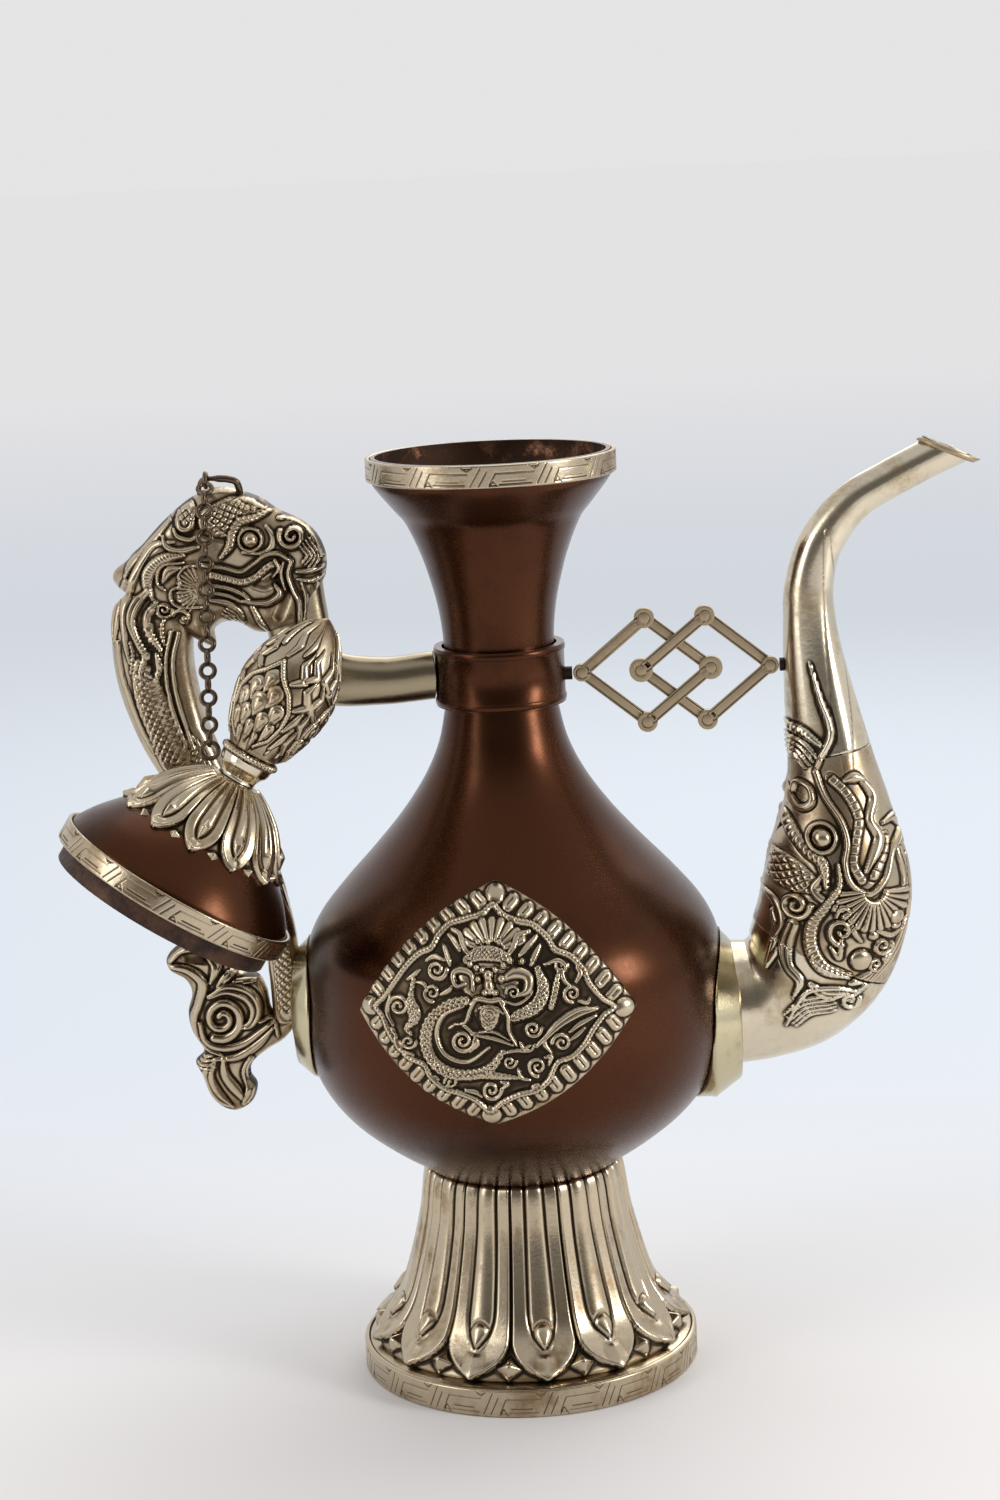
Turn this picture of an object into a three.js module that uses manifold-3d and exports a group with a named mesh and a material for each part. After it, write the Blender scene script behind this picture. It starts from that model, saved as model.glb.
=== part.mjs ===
// Tibetan ewer of dark copper and white metal, its lid off and hanging on a chain from the handle.
// Millimetres, +Z up, +X towards the spout, the origin on the ewer's axis where the foot rests.
import * as THREE from 'three';
import { mergeVertices } from 'three/addons/utils/BufferGeometryUtils.js';
import Module from 'manifold-3d';

const wasm = await Module();
wasm.setup();

// Clearances and shared walls
const fit = { seam: 0.3, overrun: 6 };
const sheet = { copper: 1.5, white: 1.2 };

// Driving dimensions of the vessel
const foot = {
  radius: 61.7,
  bandHeight: 10.4,
  bandWall: 3,
  ledge: 1.4,
  height: 71.5,
  petals: 13,
  tipRadius: 57.5,
  notchDepth: 3.6,
  fluteDepth: 0.9,
  plate: 1.6,
};
const belly = { radius: 77, height: 175, throatRadius: 20 };
const collar = { height: 21, radius: 22.7, bead: 1.5 };
const neck = { height: 78.5, lipRadius: 42.4 };
const mouth = { height: 8, wall: 1.6 };

// Outlines of the turned pieces as shares of radius and height
const footProfileShares = [
  [0.48, 1], [0.565, 0.985], [0.592, 0.945], [0.62, 0.83], [0.66, 0.69], [0.705, 0.55], [0.75, 0.43],
  [0.8, 0.345], [0.87, 0.26], [0.945, 0.185],
];
const bellyProfileShares = [
  [0.345, 0], [0.384, 0.006], [0.512, 0.045], [0.665, 0.092], [0.8, 0.142], [0.9, 0.196], [0.965, 0.255],
  [1, 0.33], [0.994, 0.41], [0.97, 0.5], [0.905, 0.565], [0.78, 0.633], [0.63, 0.704], [0.49, 0.776],
  [0.375, 0.85], [0.3, 0.922], [0.26, 1],
];
const neckProfileShares = [
  [0.472, 0], [0.466, 0.16], [0.5, 0.32], [0.573, 0.48], [0.625, 0.565], [0.685, 0.645], [0.745, 0.71],
  [0.8, 0.745], [0.86, 0.785], [0.92, 0.825], [0.97, 0.86], [1, 0.885], [1, 1],
];

// Driving dimensions of the spout
const spout = {
  reach: 84,
  rise: 198.7,
  bodyRadius: 27.3,
  wall: 1.3,
  flangeRadius: 31,
  flangeProud: 3.4,
  flangeDrop: 3.4,
  lip: 1.1,
  lipHeight: 2,
  standoff: 1.1,
  flangeDepth: 8.4,
  cutAngle: 24.6,
  eyeRadius: 4.6,
};
const spoutLineShares = [
  [0, 0], [0.143, 0.006], [0.274, 0.033], [0.381, 0.084], [0.446, 0.149], [0.474, 0.219], [0.479, 0.29],
  [0.48, 0.365], [0.464, 0.441], [0.429, 0.541], [0.401, 0.632], [0.388, 0.703], [0.392, 0.768],
  [0.446, 0.841], [0.577, 0.909], [0.748, 0.951], [0.95, 0.992], [1.16, 1.03],
];
const spoutRadiusShares = [
  0.825, 0.81, 0.9, 0.98, 1, 0.98, 0.885, 0.71, 0.575, 0.48, 0.396, 0.344, 0.315, 0.29, 0.26, 0.25, 0.253,
  0.27,
];
const spoutJointShares = { elbowEnd: 0.19, makaraEnd: 0.487, eye: 0.415, lugCut: 0.437 };

// Driving dimensions of the handle: a strap, a dragon's head, a beam to the neck and a scrolled tail
const handle = {
  reach: 63,
  rise: 196,
  rootHeight: 132,
  width: 14.4,
  depth: 10,
  flangeRadius: 26,
  flangeProud: 4.6,
  inset: 1.9,
  beamDepth: 7.5,
  beamHalfHeight: 8.6,
  tailDepth: 6.5,
  headDepth: 10.5,
  headEdge: 2.2,
  headBevel: 6,
  eyeRadius: 3.6,
};
const strapLineShares = [
  [0.125, 0], [0.135, 0.09], [0.165, 0.19], [0.275, 0.285], [0.43, 0.382], [0.575, 0.478], [0.69, 0.565],
  [0.765, 0.667], [0.76, 0.76], [0.695, 0.835],
];
const strapWidthShares = [0.4, 0.4, 0.42, 0.54, 0.67, 0.79, 0.89, 0.98, 1, 0.9];
const strapDepthShares = [0.62, 0.62, 0.66, 0.72, 0.78, 0.86, 0.95, 1, 1, 1];
const headOutlineShares = [
  [0.95, 0.83], [0.87, 0.878], [0.79, 0.902], [0.66, 0.944], [0.49, 0.985], [0.325, 1], [0.125, 0.98],
  [0.02, 0.956], [-0.12, 0.932], [-0.2, 0.905], [-0.24, 0.87], [-0.235, 0.838], [-0.215, 0.822],
  [-0.16, 0.785], [-0.13, 0.742], [0.06, 0.733], [0.18, 0.735], [0.27, 0.753], [0.355, 0.754],
  [0.415, 0.742], [0.46, 0.714],
];
const tailOutlineShares = [
  [0.67, 0.159], [0.76, 0.147], [0.815, 0.126], [0.797, 0.104], [0.71, 0.085], [0.68, 0.058],
  [0.708, 0.024], [0.695, -0.012], [0.633, -0.052], [0.685, -0.074], [0.65, -0.101], [0.615, -0.137],
  [0.55, -0.162], [0.46, -0.171], [0.37, -0.155], [0.335, -0.125], [0.368, -0.104], [0.355, -0.08],
  [0.26, -0.055], [0.15, -0.033], [0.075, 0.005], [0.215, 0.017], [0.245, 0.06], [0.29, 0.088],
  [0.38, 0.096], [0.47, 0.121], [0.54, 0.134],
];
const columnLineShares = [[-0.03, 0.84], [-0.05, 0.77], [-0.09, 0.7], [-0.21, 0.645]];
const columnWidthShares = [1.3, 1.3, 1.28, 1.16, 1, 1];

// Driving dimensions of the pierced brace between neck and spout
const brace = {
  height: 18.8,
  drop: 1.3,
  bar: 4.2,
  thickness: 1.3,
  disc: 3.1,
  eyeDisc: 4,
  rivetRadius: 2,
  rivetHead: 0.6,
  lugRadius: 2.4,
  lugLength: 1.9,
  spoutLug: 0.9,
};
const braceShares = { farCorner: 0.685, crest: 0.34 };

// Driving dimensions of the two lozenge plaques
const plaque = { width: 95.5, height: 80, thickness: 2.4, bow: 5.8, sag: 2.7, turn: 4.2, rise: 1.4 };
const plaqueHeightShare = 0.457;
const plaqueSideShares = [0, 0.2, 0.4, 0.6, 0.8];

// Driving dimensions of the lid
const lid = {
  bezelHeight: 6.4,
  radius: 43.8,
  bandHeight: 7.7,
  bandWall: 1.4,
  domeHeight: 25,
  petals: 12,
  petalRadius: 30,
  petalTipHeight: 17,
  stemHeight: 47,
  stemRadius: 7,
  cupRadius: 9.6,
  cupHeight: 7.4,
  ropeRadius: 1.3,
  budRadius: 16.4,
  tipHeight: 111,
  pinRadius: 1.6,
  tilt: 32.6,
  lean: 6.7,
};
const lidDomeShares = [[1, 0], [0.945, 0.22], [0.865, 0.48], [0.765, 0.75], [0.66, 1]];
const lidPetalShares = [
  [1, 0], [0.985, 0.12], [0.93, 0.32], [0.82, 0.53], [0.66, 0.72], [0.46, 0.87], [0.27, 0.97], [0.24, 1],
];
const budShares = [
  [0.57, 0], [0.75, 0.12], [0.93, 0.29], [1, 0.43], [0.96, 0.56], [0.82, 0.7], [0.55, 0.85], [0.25, 0.96],
];

// Driving dimensions of the chain, which falls over the head and then hangs in a line to the lid
const chain = {
  links: 21,
  wire: 1.7,
  length: 8.42,
  width: 6.5,
  eye: 7.5,
  lean: 18.4,
  startLean: 80,
  settle: 1.6,
  stapleX: -100.2,
  stapleForward: 5,
  stapleRise: 3.4,
  stapleSpan: 15,
  stapleFoot: 5,
};

// Finishes
const darkCopper = { color: 0x4b281c, roughness: 0.36, metalness: 0.85 };
const whiteMetal = { color: 0xb8a78a, roughness: 0.34, metalness: 0.95 };
const goldenMetal = { color: 0xa58c6e, roughness: 0.42, metalness: 0.95 };
const oxidised = { color: 0x3c322a, roughness: 0.5, metalness: 0.9 };

// Counts of sides and steps
const rounds = { large: 36, medium: 24, small: 12, wire: 5, link: 8 };

const across = new THREE.Vector3(0, 1, 0);

// The closed solid of a three.js geometry, turned right side out
function solid(geometry) {
  geometry.deleteAttribute('normal');
  geometry.deleteAttribute('uv');
  const merged = mergeVertices(geometry, fit.seam / 1000);
  const corners = Array.from(merged.index.array);
  const kept = [];
  for (let i = 0; i < corners.length; i += 3) {
    const [a, b, c] = corners.slice(i, i + 3);
    if (a !== b && b !== c && c !== a) kept.push(a, b, c);
  }
  const made = new wasm.Manifold(new wasm.Mesh({
    numProp: 3,
    vertProperties: new Float32Array(merged.attributes.position.array),
    triVerts: new Uint32Array(kept),
  }));
  if (made.volume() > 0) return made;
  for (let i = 0; i < kept.length; i += 3) {
    [kept[i], kept[i + 1]] = [kept[i + 1], kept[i]];
  }
  return new wasm.Manifold(new wasm.Mesh({
    numProp: 3,
    vertProperties: new Float32Array(merged.attributes.position.array),
    triVerts: new Uint32Array(kept),
  }));
}

// A named mesh with its finish
function piece(name, body, finish) {
  const { vertProperties, triVerts } = body.getMesh();
  const geometry = new THREE.BufferGeometry();
  geometry.setAttribute('position', new THREE.BufferAttribute(new Float32Array(vertProperties), 3));
  geometry.setIndex(new THREE.BufferAttribute(new Uint32Array(triVerts), 1));
  geometry.computeVertexNormals();
  const mesh = new THREE.Mesh(geometry, new THREE.MeshStandardMaterial(finish));
  mesh.name = name;
  return mesh;
}

// A turned solid about Z from a profile of [radius, height] points
function turned(profile, sides) {
  const points = profile.map(([radius, height]) => new THREE.Vector2(radius, height));
  return solid(new THREE.LatheGeometry(points, sides).rotateX(Math.PI / 2));
}

// A turned shell: the outer profile runs upwards and the inner one, a wall further in, comes back down
function shellProfile(outer, inner) {
  return [...outer, ...inner.slice().reverse(), outer[0]];
}

// A profile moved outwards, or inwards where the distance is negative
function grown(profile, distance) {
  return profile.map(([radius, height]) => [radius + distance, height]);
}

// A smooth curve through points in the XZ plane
function planeCurve(points) {
  return new THREE.CatmullRomCurve3(points.map(([x, z]) => new THREE.Vector3(x, 0, z)));
}

// A solid along a curve: half widths lie in the XZ plane, half depths along Y
function sweep(line, widths, depths, { from = 0, to = 1, steps, sides, square = 1, grow = 0 }) {
  const shape = new THREE.CylinderGeometry(1, 1, 1, sides, steps, false, Math.PI / sides);
  const sizes = new THREE.CatmullRomCurve3(widths.map((w, i) => new THREE.Vector3(w, depths[i], 0)));
  const spots = shape.attributes.position;
  for (let i = 0; i < spots.count; i += 1) {
    const share = from + (spots.getY(i) + 0.5) * (to - from);
    const size = sizes.getPoint(THREE.MathUtils.clamp(share, 0, 1));
    const sideways = line.getTangent(share).cross(across).normalize();
    const spot = line.getPoint(share);
    const x = Math.sign(spots.getX(i)) * Math.abs(spots.getX(i)) ** square;
    const y = Math.sign(spots.getZ(i)) * Math.abs(spots.getZ(i)) ** square;
    spot.addScaledVector(sideways, x * (size.x + grow)).addScaledVector(across, y * (size.y + grow));
    spots.setXYZ(i, spot.x, spot.y, spot.z);
  }
  return solid(shape);
}

// A plate cut from an outline in the XZ plane, as deep on both sides of it
function slab(outline, depth, edge = depth, bevel = 0, segments = 2, grow = 0) {
  const points = outline.map(([x, z]) => new THREE.Vector2(x, z));
  const shape = new THREE.ExtrudeGeometry(new THREE.Shape(points), {
    depth: 2 * edge,
    bevelEnabled: bevel > 0,
    bevelThickness: depth - edge + grow,
    bevelSize: bevel,
    bevelOffset: grow - bevel,
    bevelSegments: segments,
    curveSegments: 1,
  });
  shape.translate(0, 0, -edge);
  return solid(shape.rotateX(Math.PI / 2));
}

// A round bar between two heights of Y, for rivets, bores and pins
function barAlongY(x, z, radius, low, high, sides = rounds.small) {
  const bar = new THREE.CylinderGeometry(radius, radius, high - low, sides);
  return solid(bar.translate(x, (low + high) / 2, z));
}

// A round bar along X
function barAlongX(from, to, z, radius, sides = rounds.small) {
  const bar = new THREE.CylinderGeometry(radius, radius, to - from, sides).rotateZ(Math.PI / 2);
  return solid(bar.translate((from + to) / 2, 0, z));
}

// A ball pressed out of a surface
function boss(x, y, z, radius) {
  return solid(new THREE.SphereGeometry(radius, 8, 6).translate(x, y, z));
}

// A ring of wire lengthened along Z by a straight stretch, standing in the XZ plane
function link(length, width, wire) {
  const turn = (width - wire) / 2;
  const ring = new THREE.TorusGeometry(turn, wire / 2, rounds.wire, rounds.link);
  ring.rotateZ(Math.PI / rounds.link).rotateX(Math.PI / 2);
  const spots = ring.attributes.position;
  const straight = (length - width) / 2;
  for (let i = 0; i < spots.count; i += 1) {
    spots.setZ(i, spots.getZ(i) + Math.sign(spots.getZ(i)) * straight);
  }
  return solid(ring);
}

// Heights that the pieces share
const bellyBase = foot.height + fit.seam;
const collarBase = bellyBase + belly.height;
const seamHeight = collarBase + collar.height / 2;
const neckBase = seamHeight + fit.seam;
const rim = neckBase + neck.height;
const spoutAxis = handle.rootHeight;

// Belly, open at the throat, which runs up inside the collar
const bellyOuter = bellyProfileShares.map(([r, h]) => [r * belly.radius, bellyBase + h * belly.height]);
const throat = [belly.throatRadius, seamHeight];

function bellySide(height) {
  const above = bellyOuter.findIndex(([, z]) => z > height);
  const [[r0, z0], [r1, z1]] = bellyOuter.slice(above - 1, above + 1);
  return r0 + ((height - z0) / (z1 - z0)) * (r1 - r0);
}

function bellyMould(distance) {
  const profile = grown([...bellyOuter, throat], distance);
  return turned([[0, bellyBase - distance], ...profile, [0, seamHeight]], rounds.large);
}

function makeBelly() {
  const hollow = grown(bellyOuter.filter((spot, i) => i % 2 === 1), -sheet.copper);
  hollow[0][1] = bellyBase + sheet.copper;
  hollow.unshift([0, bellyBase + sheet.copper]);
  hollow.push([belly.throatRadius - sheet.copper, seamHeight]);
  return turned([[0, bellyBase], ...bellyOuter, throat, ...hollow.reverse()], rounds.large);
}

// Foot: a fluted white metal cone that ends in lotus petals, a band that it stands on and a closing plate
function petalled(profile, count, tipRadius, notch, flute) {
  const segments = count * 4;
  const shape = new THREE.LatheGeometry(profile.map(([r, z]) => new THREE.Vector2(r, z)), segments);
  shape.rotateX(Math.PI / 2);
  const spots = shape.attributes.position;
  for (let i = 0; i < spots.count; i += 1) {
    const radius = Math.hypot(spots.getX(i), spots.getY(i));
    const beat = (1 - Math.cos(count * Math.atan2(spots.getY(i), spots.getX(i)))) / 2;
    const spread = Math.max(0, radius / tipRadius) ** 6;
    const target = radius - beat * (flute + notch * spread);
    const scale = radius > fit.seam ? target / radius : 1;
    spots.setXY(i, spots.getX(i) * scale, spots.getY(i) * scale);
  }
  return solid(shape);
}

function makeFootPetals() {
  const ledgeTop = foot.bandHeight + fit.seam;
  const slope = footProfileShares.map(([r, h]) => [r * foot.radius, h * foot.height]).reverse();
  const outer = [[foot.tipRadius, ledgeTop], [foot.tipRadius, ledgeTop + sheet.white], ...slope];
  const inside = grown(slope.slice(1, -1), -1.9 * sheet.white).filter((spot, i) => i % 2 === 0);
  const inner = [[foot.tipRadius * 0.86, ledgeTop], ...inside];
  inner.push([slope.at(-1)[0], foot.height - 1.9 * sheet.white]);
  const shell = shellProfile(outer, inner);
  return petalled(shell, foot.petals, foot.tipRadius, foot.notchDepth, foot.fluteDepth);
}

function makeFootBand() {
  const top = foot.bandHeight;
  const inside = foot.radius - foot.bandWall;
  const shelf = foot.tipRadius - 2.4 * foot.bandWall;
  return turned([
    [inside, 0], [foot.radius, 0], [foot.radius, top - foot.ledge], [foot.radius - foot.ledge, top],
    [shelf, top], [shelf, top - sheet.white], [inside, top - sheet.white], [inside, 0],
  ], rounds.large);
}

function makeBasePlate() {
  const radius = foot.radius - foot.bandWall - fit.seam;
  return turned([[0, 0], [radius, 0], [radius, foot.plate], [0, foot.plate]], rounds.large);
}

// Neck and its collar
const neckOuter = neckProfileShares.map(([r, h]) => [r * neck.lipRadius, neckBase + h * neck.height]);

function makeNeck() {
  return turned(shellProfile(neckOuter, grown(neckOuter, -sheet.copper)), rounds.large);
}

function makeCollar() {
  const inside = Math.max(belly.throatRadius, neckOuter[0][0]) + fit.seam;
  const top = collarBase + collar.height;
  const proud = collar.radius + 0.55 * collar.bead;
  return turned([
    [inside, collarBase], [proud, collarBase], [proud, collarBase + collar.bead],
    [collar.radius, collarBase + 1.6 * collar.bead], [collar.radius, top - 1.6 * collar.bead],
    [proud, top - collar.bead], [proud, top], [inside, top], [inside, collarBase],
  ], rounds.large);
}

function makeMouthBand() {
  const inside = neck.lipRadius + fit.seam;
  const base = rim - mouth.height;
  const seat = turned([
    [0, neckBase], ...grown(neckOuter, fit.seam), [inside, rim + fit.overrun], [0, rim + fit.overrun],
  ], rounds.large);
  const ring = turned([
    [inside - mouth.wall, base], [inside + mouth.wall, base], [inside + mouth.wall, rim],
    [inside - mouth.wall, rim], [inside - mouth.wall, base],
  ], rounds.large);
  return ring.subtract(seat);
}

// Spout: flange, plain elbow, makara's head, tube and lip, all bored through
const spoutRoot = bellySide(spoutAxis) + spout.standoff;
const spoutLine = planeCurve(spoutLineShares.map(([x, z]) => [
  spoutRoot + x * spout.reach, spoutAxis + z * spout.rise,
]));
const spoutWidths = spoutRadiusShares.map((r) => r * spout.bodyRadius);
const spoutTurns = { steps: 8, sides: rounds.small };
const spoutLength = spoutLine.getLength();

function spoutShareOf(gap) {
  return gap / spoutLength;
}

function spoutStretch(from, to, steps, grow = 0) {
  return sweep(spoutLine, spoutWidths, spoutWidths, { ...spoutTurns, from, to, steps, grow });
}

const spoutMouthShare = 0.9;
const spoutEntry = [spoutRoot - 3 * fit.overrun, spoutRoot + fit.overrun / 3];
const spoutBore = spoutStretch(0, 1, 26, -spout.wall).add(
  barAlongX(...spoutEntry, spoutAxis, spoutWidths[0] - spout.wall * spoutMouthShare),
);

// The half space beyond the slanted mouth of the spout, moved back along its normal
function beyondMouth(back) {
  const size = 4 * spout.bodyRadius;
  const block = new THREE.BoxGeometry(size, size, size);
  block.translate(0, 0, size / 2 - back).rotateY(THREE.MathUtils.degToRad(spout.cutAngle));
  return solid(block.translate(spoutRoot + spout.reach, 0, spoutAxis + spout.rise));
}

function makeSpoutElbow() {
  return spoutStretch(0, spoutJointShares.elbowEnd - spoutShareOf(fit.seam), 6).subtract(spoutBore);
}

function makeSpoutMakara() {
  const from = spoutJointShares.elbowEnd;
  let head = spoutStretch(from, spoutJointShares.makaraEnd - spoutShareOf(fit.seam), 8);
  const eye = spoutLine.getPoint(spoutJointShares.eye);
  const out = spout.bodyRadius * 0.74;
  for (const side of [-1, 1]) {
    head = head.add(boss(eye.x - spout.eyeRadius, side * out, eye.z, spout.eyeRadius));
  }
  return head.subtract(spoutBore);
}

function makeSpoutTube() {
  return spoutStretch(spoutJointShares.makaraEnd, 1, 16).subtract(spoutBore).subtract(beyondMouth(0));
}

function makeSpoutLip() {
  const share = 1 - 3 / (spoutLineShares.length - 1);
  const sleeve = spoutStretch(share, 1, 6, fit.seam + spout.lip);
  const tube = spoutStretch(spoutJointShares.makaraEnd, 1, 16, fit.seam);
  return sleeve.subtract(tube).subtract(beyondMouth(0)).intersect(beyondMouth(spout.lipHeight));
}

function makeSpoutFlange() {
  const face = spoutRoot + spout.flangeProud;
  const cone = turned([
    [0, belly.radius / 2], [spout.flangeRadius, belly.radius / 2], [spout.flangeRadius, belly.radius * 0.92],
    [spoutWidths[0] + spout.lip, face], [0, face],
  ], rounds.medium).rotate([0, 90, 0]).translate([0, 0, spoutAxis - spout.flangeDrop]);
  const socket = spoutStretch(0, 0.2, 4, fit.seam);
  const dome = cone.intersect(bellyMould(spout.flangeDepth)).subtract(bellyMould(fit.seam));
  return dome.subtract(socket).subtract(spoutBore);
}

// Handle: places are shares of its reach and rise, counted from the belly's side
const handleRoot = handle.inset - bellySide(handle.rootHeight);

function handlePlace([x, z]) {
  return [handleRoot - x * handle.reach, handle.rootHeight + z * handle.rise];
}

const strapLine = planeCurve(strapLineShares.map(handlePlace));
const headTop = handle.rootHeight + handle.rise;

// The handle's flange is a shallow dome, and its mould is the same dome grown by a clearance
function flangeDome(low, gap) {
  const radius = handle.flangeRadius + gap;
  const apex = belly.radius + handle.flangeProud + gap;
  const profileShares = [[1, 1], [0.8, 0.45], [0.45, 0.12]];
  const edge = belly.radius * 0.945 + gap;
  const dome = profileShares.map(([r, drop], i) => [
    r * radius, i ? apex - drop * handle.flangeProud : edge,
  ]);
  const profile = [[0, low], [radius, low], ...dome, [0, apex]];
  return turned(profile, rounds.medium)
    .rotate([0, -90, 0])
    .translate([0, 0, handle.rootHeight + handle.flangeProud]);
}

function makeHandleFlange() {
  return flangeDome(belly.radius / 2, 0).subtract(bellyMould(fit.seam));
}

const headOutline = headOutlineShares.map(handlePlace);

function strapBody(grow) {
  const widths = strapWidthShares.map((w) => w * handle.width);
  const depths = strapDepthShares.map((d) => d * handle.depth);
  return sweep(strapLine, widths, depths, { steps: 15, sides: 12, square: 0.72, grow });
}

function headMould(grow) {
  return slab(headOutline, handle.headDepth, handle.headEdge, handle.headBevel, 2, grow);
}

function makeHandleBody() {
  return strapBody(0).subtract(flangeDome(0, fit.seam)).subtract(headMould(fit.seam));
}

function makeHandleHead() {
  const [eyeX, eyeZ] = handlePlace([0.07, 0.905]);
  let head = headMould(0);
  for (const side of [-1, 1]) {
    head = head.add(boss(eyeX, side * (handle.headDepth - handle.eyeRadius / 3), eyeZ, handle.eyeRadius));
  }
  return head.subtract(makeStaple(fit.seam));
}

function makeHandleTail() {
  const outline = tailOutlineShares.map(handlePlace);
  const tail = slab(outline, handle.tailDepth, handle.headEdge, handle.headEdge, 1);
  return tail.subtract(strapBody(fit.seam)).subtract(flangeDome(0, fit.seam));
}

const collarMiddle = collarBase + collar.height / 2;

function makeHandleBeam() {
  const column = columnLineShares.map(handlePlace);
  const end = [-collar.radius - 0.55 * collar.bead - fit.seam, collarMiddle];
  const middle = [(column.at(-1)[0] + end[0]) / 2, collarMiddle - 0.15 * handle.beamHalfHeight];
  const widths = columnWidthShares.map((w) => w * handle.beamHalfHeight);
  const depths = widths.map(() => handle.beamDepth);
  const beam = sweep(planeCurve([...column, middle, end]), widths, depths, { steps: 14, sides: 8 });
  return beam.subtract(headMould(fit.seam)).subtract(collarMould(fit.seam));
}

function collarMould(gap, side = collar.radius + 0.55 * collar.bead) {
  const radius = side + gap;
  const low = collarBase - gap;
  return turned([[0, low], [radius, low], [radius, low + collar.height + 2 * gap],
    [0, low + collar.height + 2 * gap]], rounds.large);
}

// Brace: two interlaced lozenges between a lug on the collar and one on the spout, with riveted corners
const braceHeight = collarMiddle - brace.drop;
const spoutSide = sideOfSpout(braceHeight - brace.lugRadius);
const braceStart = collar.radius + 0.55 * collar.bead + 2 * fit.seam + brace.lugLength + brace.disc;
const braceEnd = spoutSide - 2 * fit.seam - brace.spoutLug - brace.disc;

function sideOfSpout(height) {
  let share = 0.5;
  while (spoutLine.getPoint(share).z < height) share += 0.002;
  const radii = new THREE.CatmullRomCurve3(spoutWidths.map((w) => new THREE.Vector3(w, 0, 0)));
  return spoutLine.getPoint(share).x - radii.getPoint(share).x;
}

function lozengeCorners(start, direction) {
  const span = braceEnd - braceStart;
  const crest = start + direction * braceShares.crest * span;
  const far = start + direction * braceShares.farCorner * span;
  return [[start, braceHeight], [crest, braceHeight + brace.height], [far, braceHeight],
    [crest, braceHeight - brace.height]];
}

function braceBar([x0, z0], [x1, z1], low, high) {
  const length = Math.hypot(x1 - x0, z1 - z0);
  const bar = new THREE.BoxGeometry(length, high - low, brace.bar);
  bar.translate(length / 2, (low + high) / 2, 0).rotateY(-Math.atan2(z1 - z0, x1 - x0));
  return solid(bar.translate(x0, 0, z0));
}

// The bars lie in two layers, so that each lozenge passes once over and once under the other
function makeLozenge(start, direction, layers) {
  const corners = lozengeCorners(start, direction);
  const near = fit.seam / 2;
  const far = near + brace.thickness;
  const proud = far + brace.rivetHead;
  let frame = null;
  corners.forEach(([x, z], i) => {
    const next = corners[(i + 1) % corners.length];
    const bar = layers[i] ? braceBar([x, z], next, -far, -near) : braceBar([x, z], next, near, far);
    const disc = barAlongY(x, z, i === 2 ? brace.eyeDisc : brace.disc, -far, far);
    const rivet = barAlongY(x, z, brace.rivetRadius, -proud, proud, 8);
    const corner = bar.add(disc).add(rivet);
    frame = frame ? frame.add(corner) : corner;
  });
  return frame;
}

// Lugs: short bars that reach from the collar and from the spout to the ends of the brace
function makeNeckLug() {
  const face = braceStart - brace.disc - fit.seam;
  const wall = collarMould(fit.seam, collar.radius);
  return barAlongX(collar.radius, face, braceHeight, brace.lugRadius, 10).subtract(wall);
}

function makeSpoutLug() {
  const face = braceEnd + brace.disc + fit.seam;
  const bar = barAlongX(face, spoutSide + fit.overrun, braceHeight, brace.lugRadius, 10);
  return bar.subtract(spoutStretch(spoutJointShares.lugCut, 0.9, 16, fit.seam));
}

// Plaques: bowed lozenges of sheet that lie on the belly, front and back
function makePlaque(side) {
  const centre = bellyBase + belly.height * plaqueHeightShare + plaque.rise;
  const corners = [
    new THREE.Vector2(plaque.width / 2, centre - plaque.sag),
    new THREE.Vector2(0, centre + plaque.height / 2),
    new THREE.Vector2(-plaque.width / 2, centre - plaque.sag),
    new THREE.Vector2(0, centre - plaque.height / 2),
  ];
  const points = corners.flatMap((corner, i) => {
    const next = corners[(i + 1) % corners.length];
    const outwards = next.clone().sub(corner).normalize().rotateAround(new THREE.Vector2(), -Math.PI / 2);
    return plaqueSideShares.map((t) => corner.clone().lerp(next, t)
      .addScaledVector(outwards, 4 * plaque.bow * t * (1 - t)));
  });
  const reach = { depth: 2 * belly.radius, bevelEnabled: false };
  const prism = new THREE.ExtrudeGeometry(new THREE.Shape(points), reach);
  prism.rotateX(Math.PI / 2);
  const facing = side < 0 ? -plaque.turn : 180 - plaque.turn;
  const cutter = solid(prism).rotate([0, 0, facing]);
  return bellyMould(plaque.thickness + fit.seam).subtract(bellyMould(fit.seam)).intersect(cutter);
}

// Lid, modelled upright about its own axis with its band's lower edge at zero
const bezelRadius = neck.lipRadius - sheet.copper - 2 * fit.seam;
const domeBase = lid.bandHeight;
const domeWide = lid.radius - lid.bandWall - fit.seam;

function lidDomeOuter() {
  const crown = lidDomeShares.map(([r, h]) => [r * domeWide, domeBase + h * (lid.domeHeight - domeBase)]);
  return [[domeWide, sheet.copper], ...crown];
}

function makeLidDome() {
  const outer = lidDomeOuter();
  const inner = grown(outer, -sheet.copper);
  inner[0][1] = 0;
  outer[0][1] = 0;
  const roof = lid.domeHeight;
  const hole = lid.pinRadius + fit.seam;
  return turned([
    ...outer, [hole, roof + lid.ropeRadius], [hole, roof + lid.ropeRadius - sheet.copper],
    ...inner.reverse(), outer[0],
  ], rounds.large);
}

function makeLidBand() {
  const inside = domeWide + fit.seam;
  return turned([
    [inside, 0], [lid.radius, 0], [lid.radius, lid.bandHeight], [inside, lid.bandHeight], [inside, 0],
  ], rounds.large);
}

function makeLidBezel() {
  const inside = bezelRadius - sheet.copper;
  return turned([
    [inside, -lid.bezelHeight], [bezelRadius, -lid.bezelHeight], [bezelRadius, -fit.seam],
    [inside, -fit.seam], [inside, -lid.bezelHeight],
  ], rounds.large);
}

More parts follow.
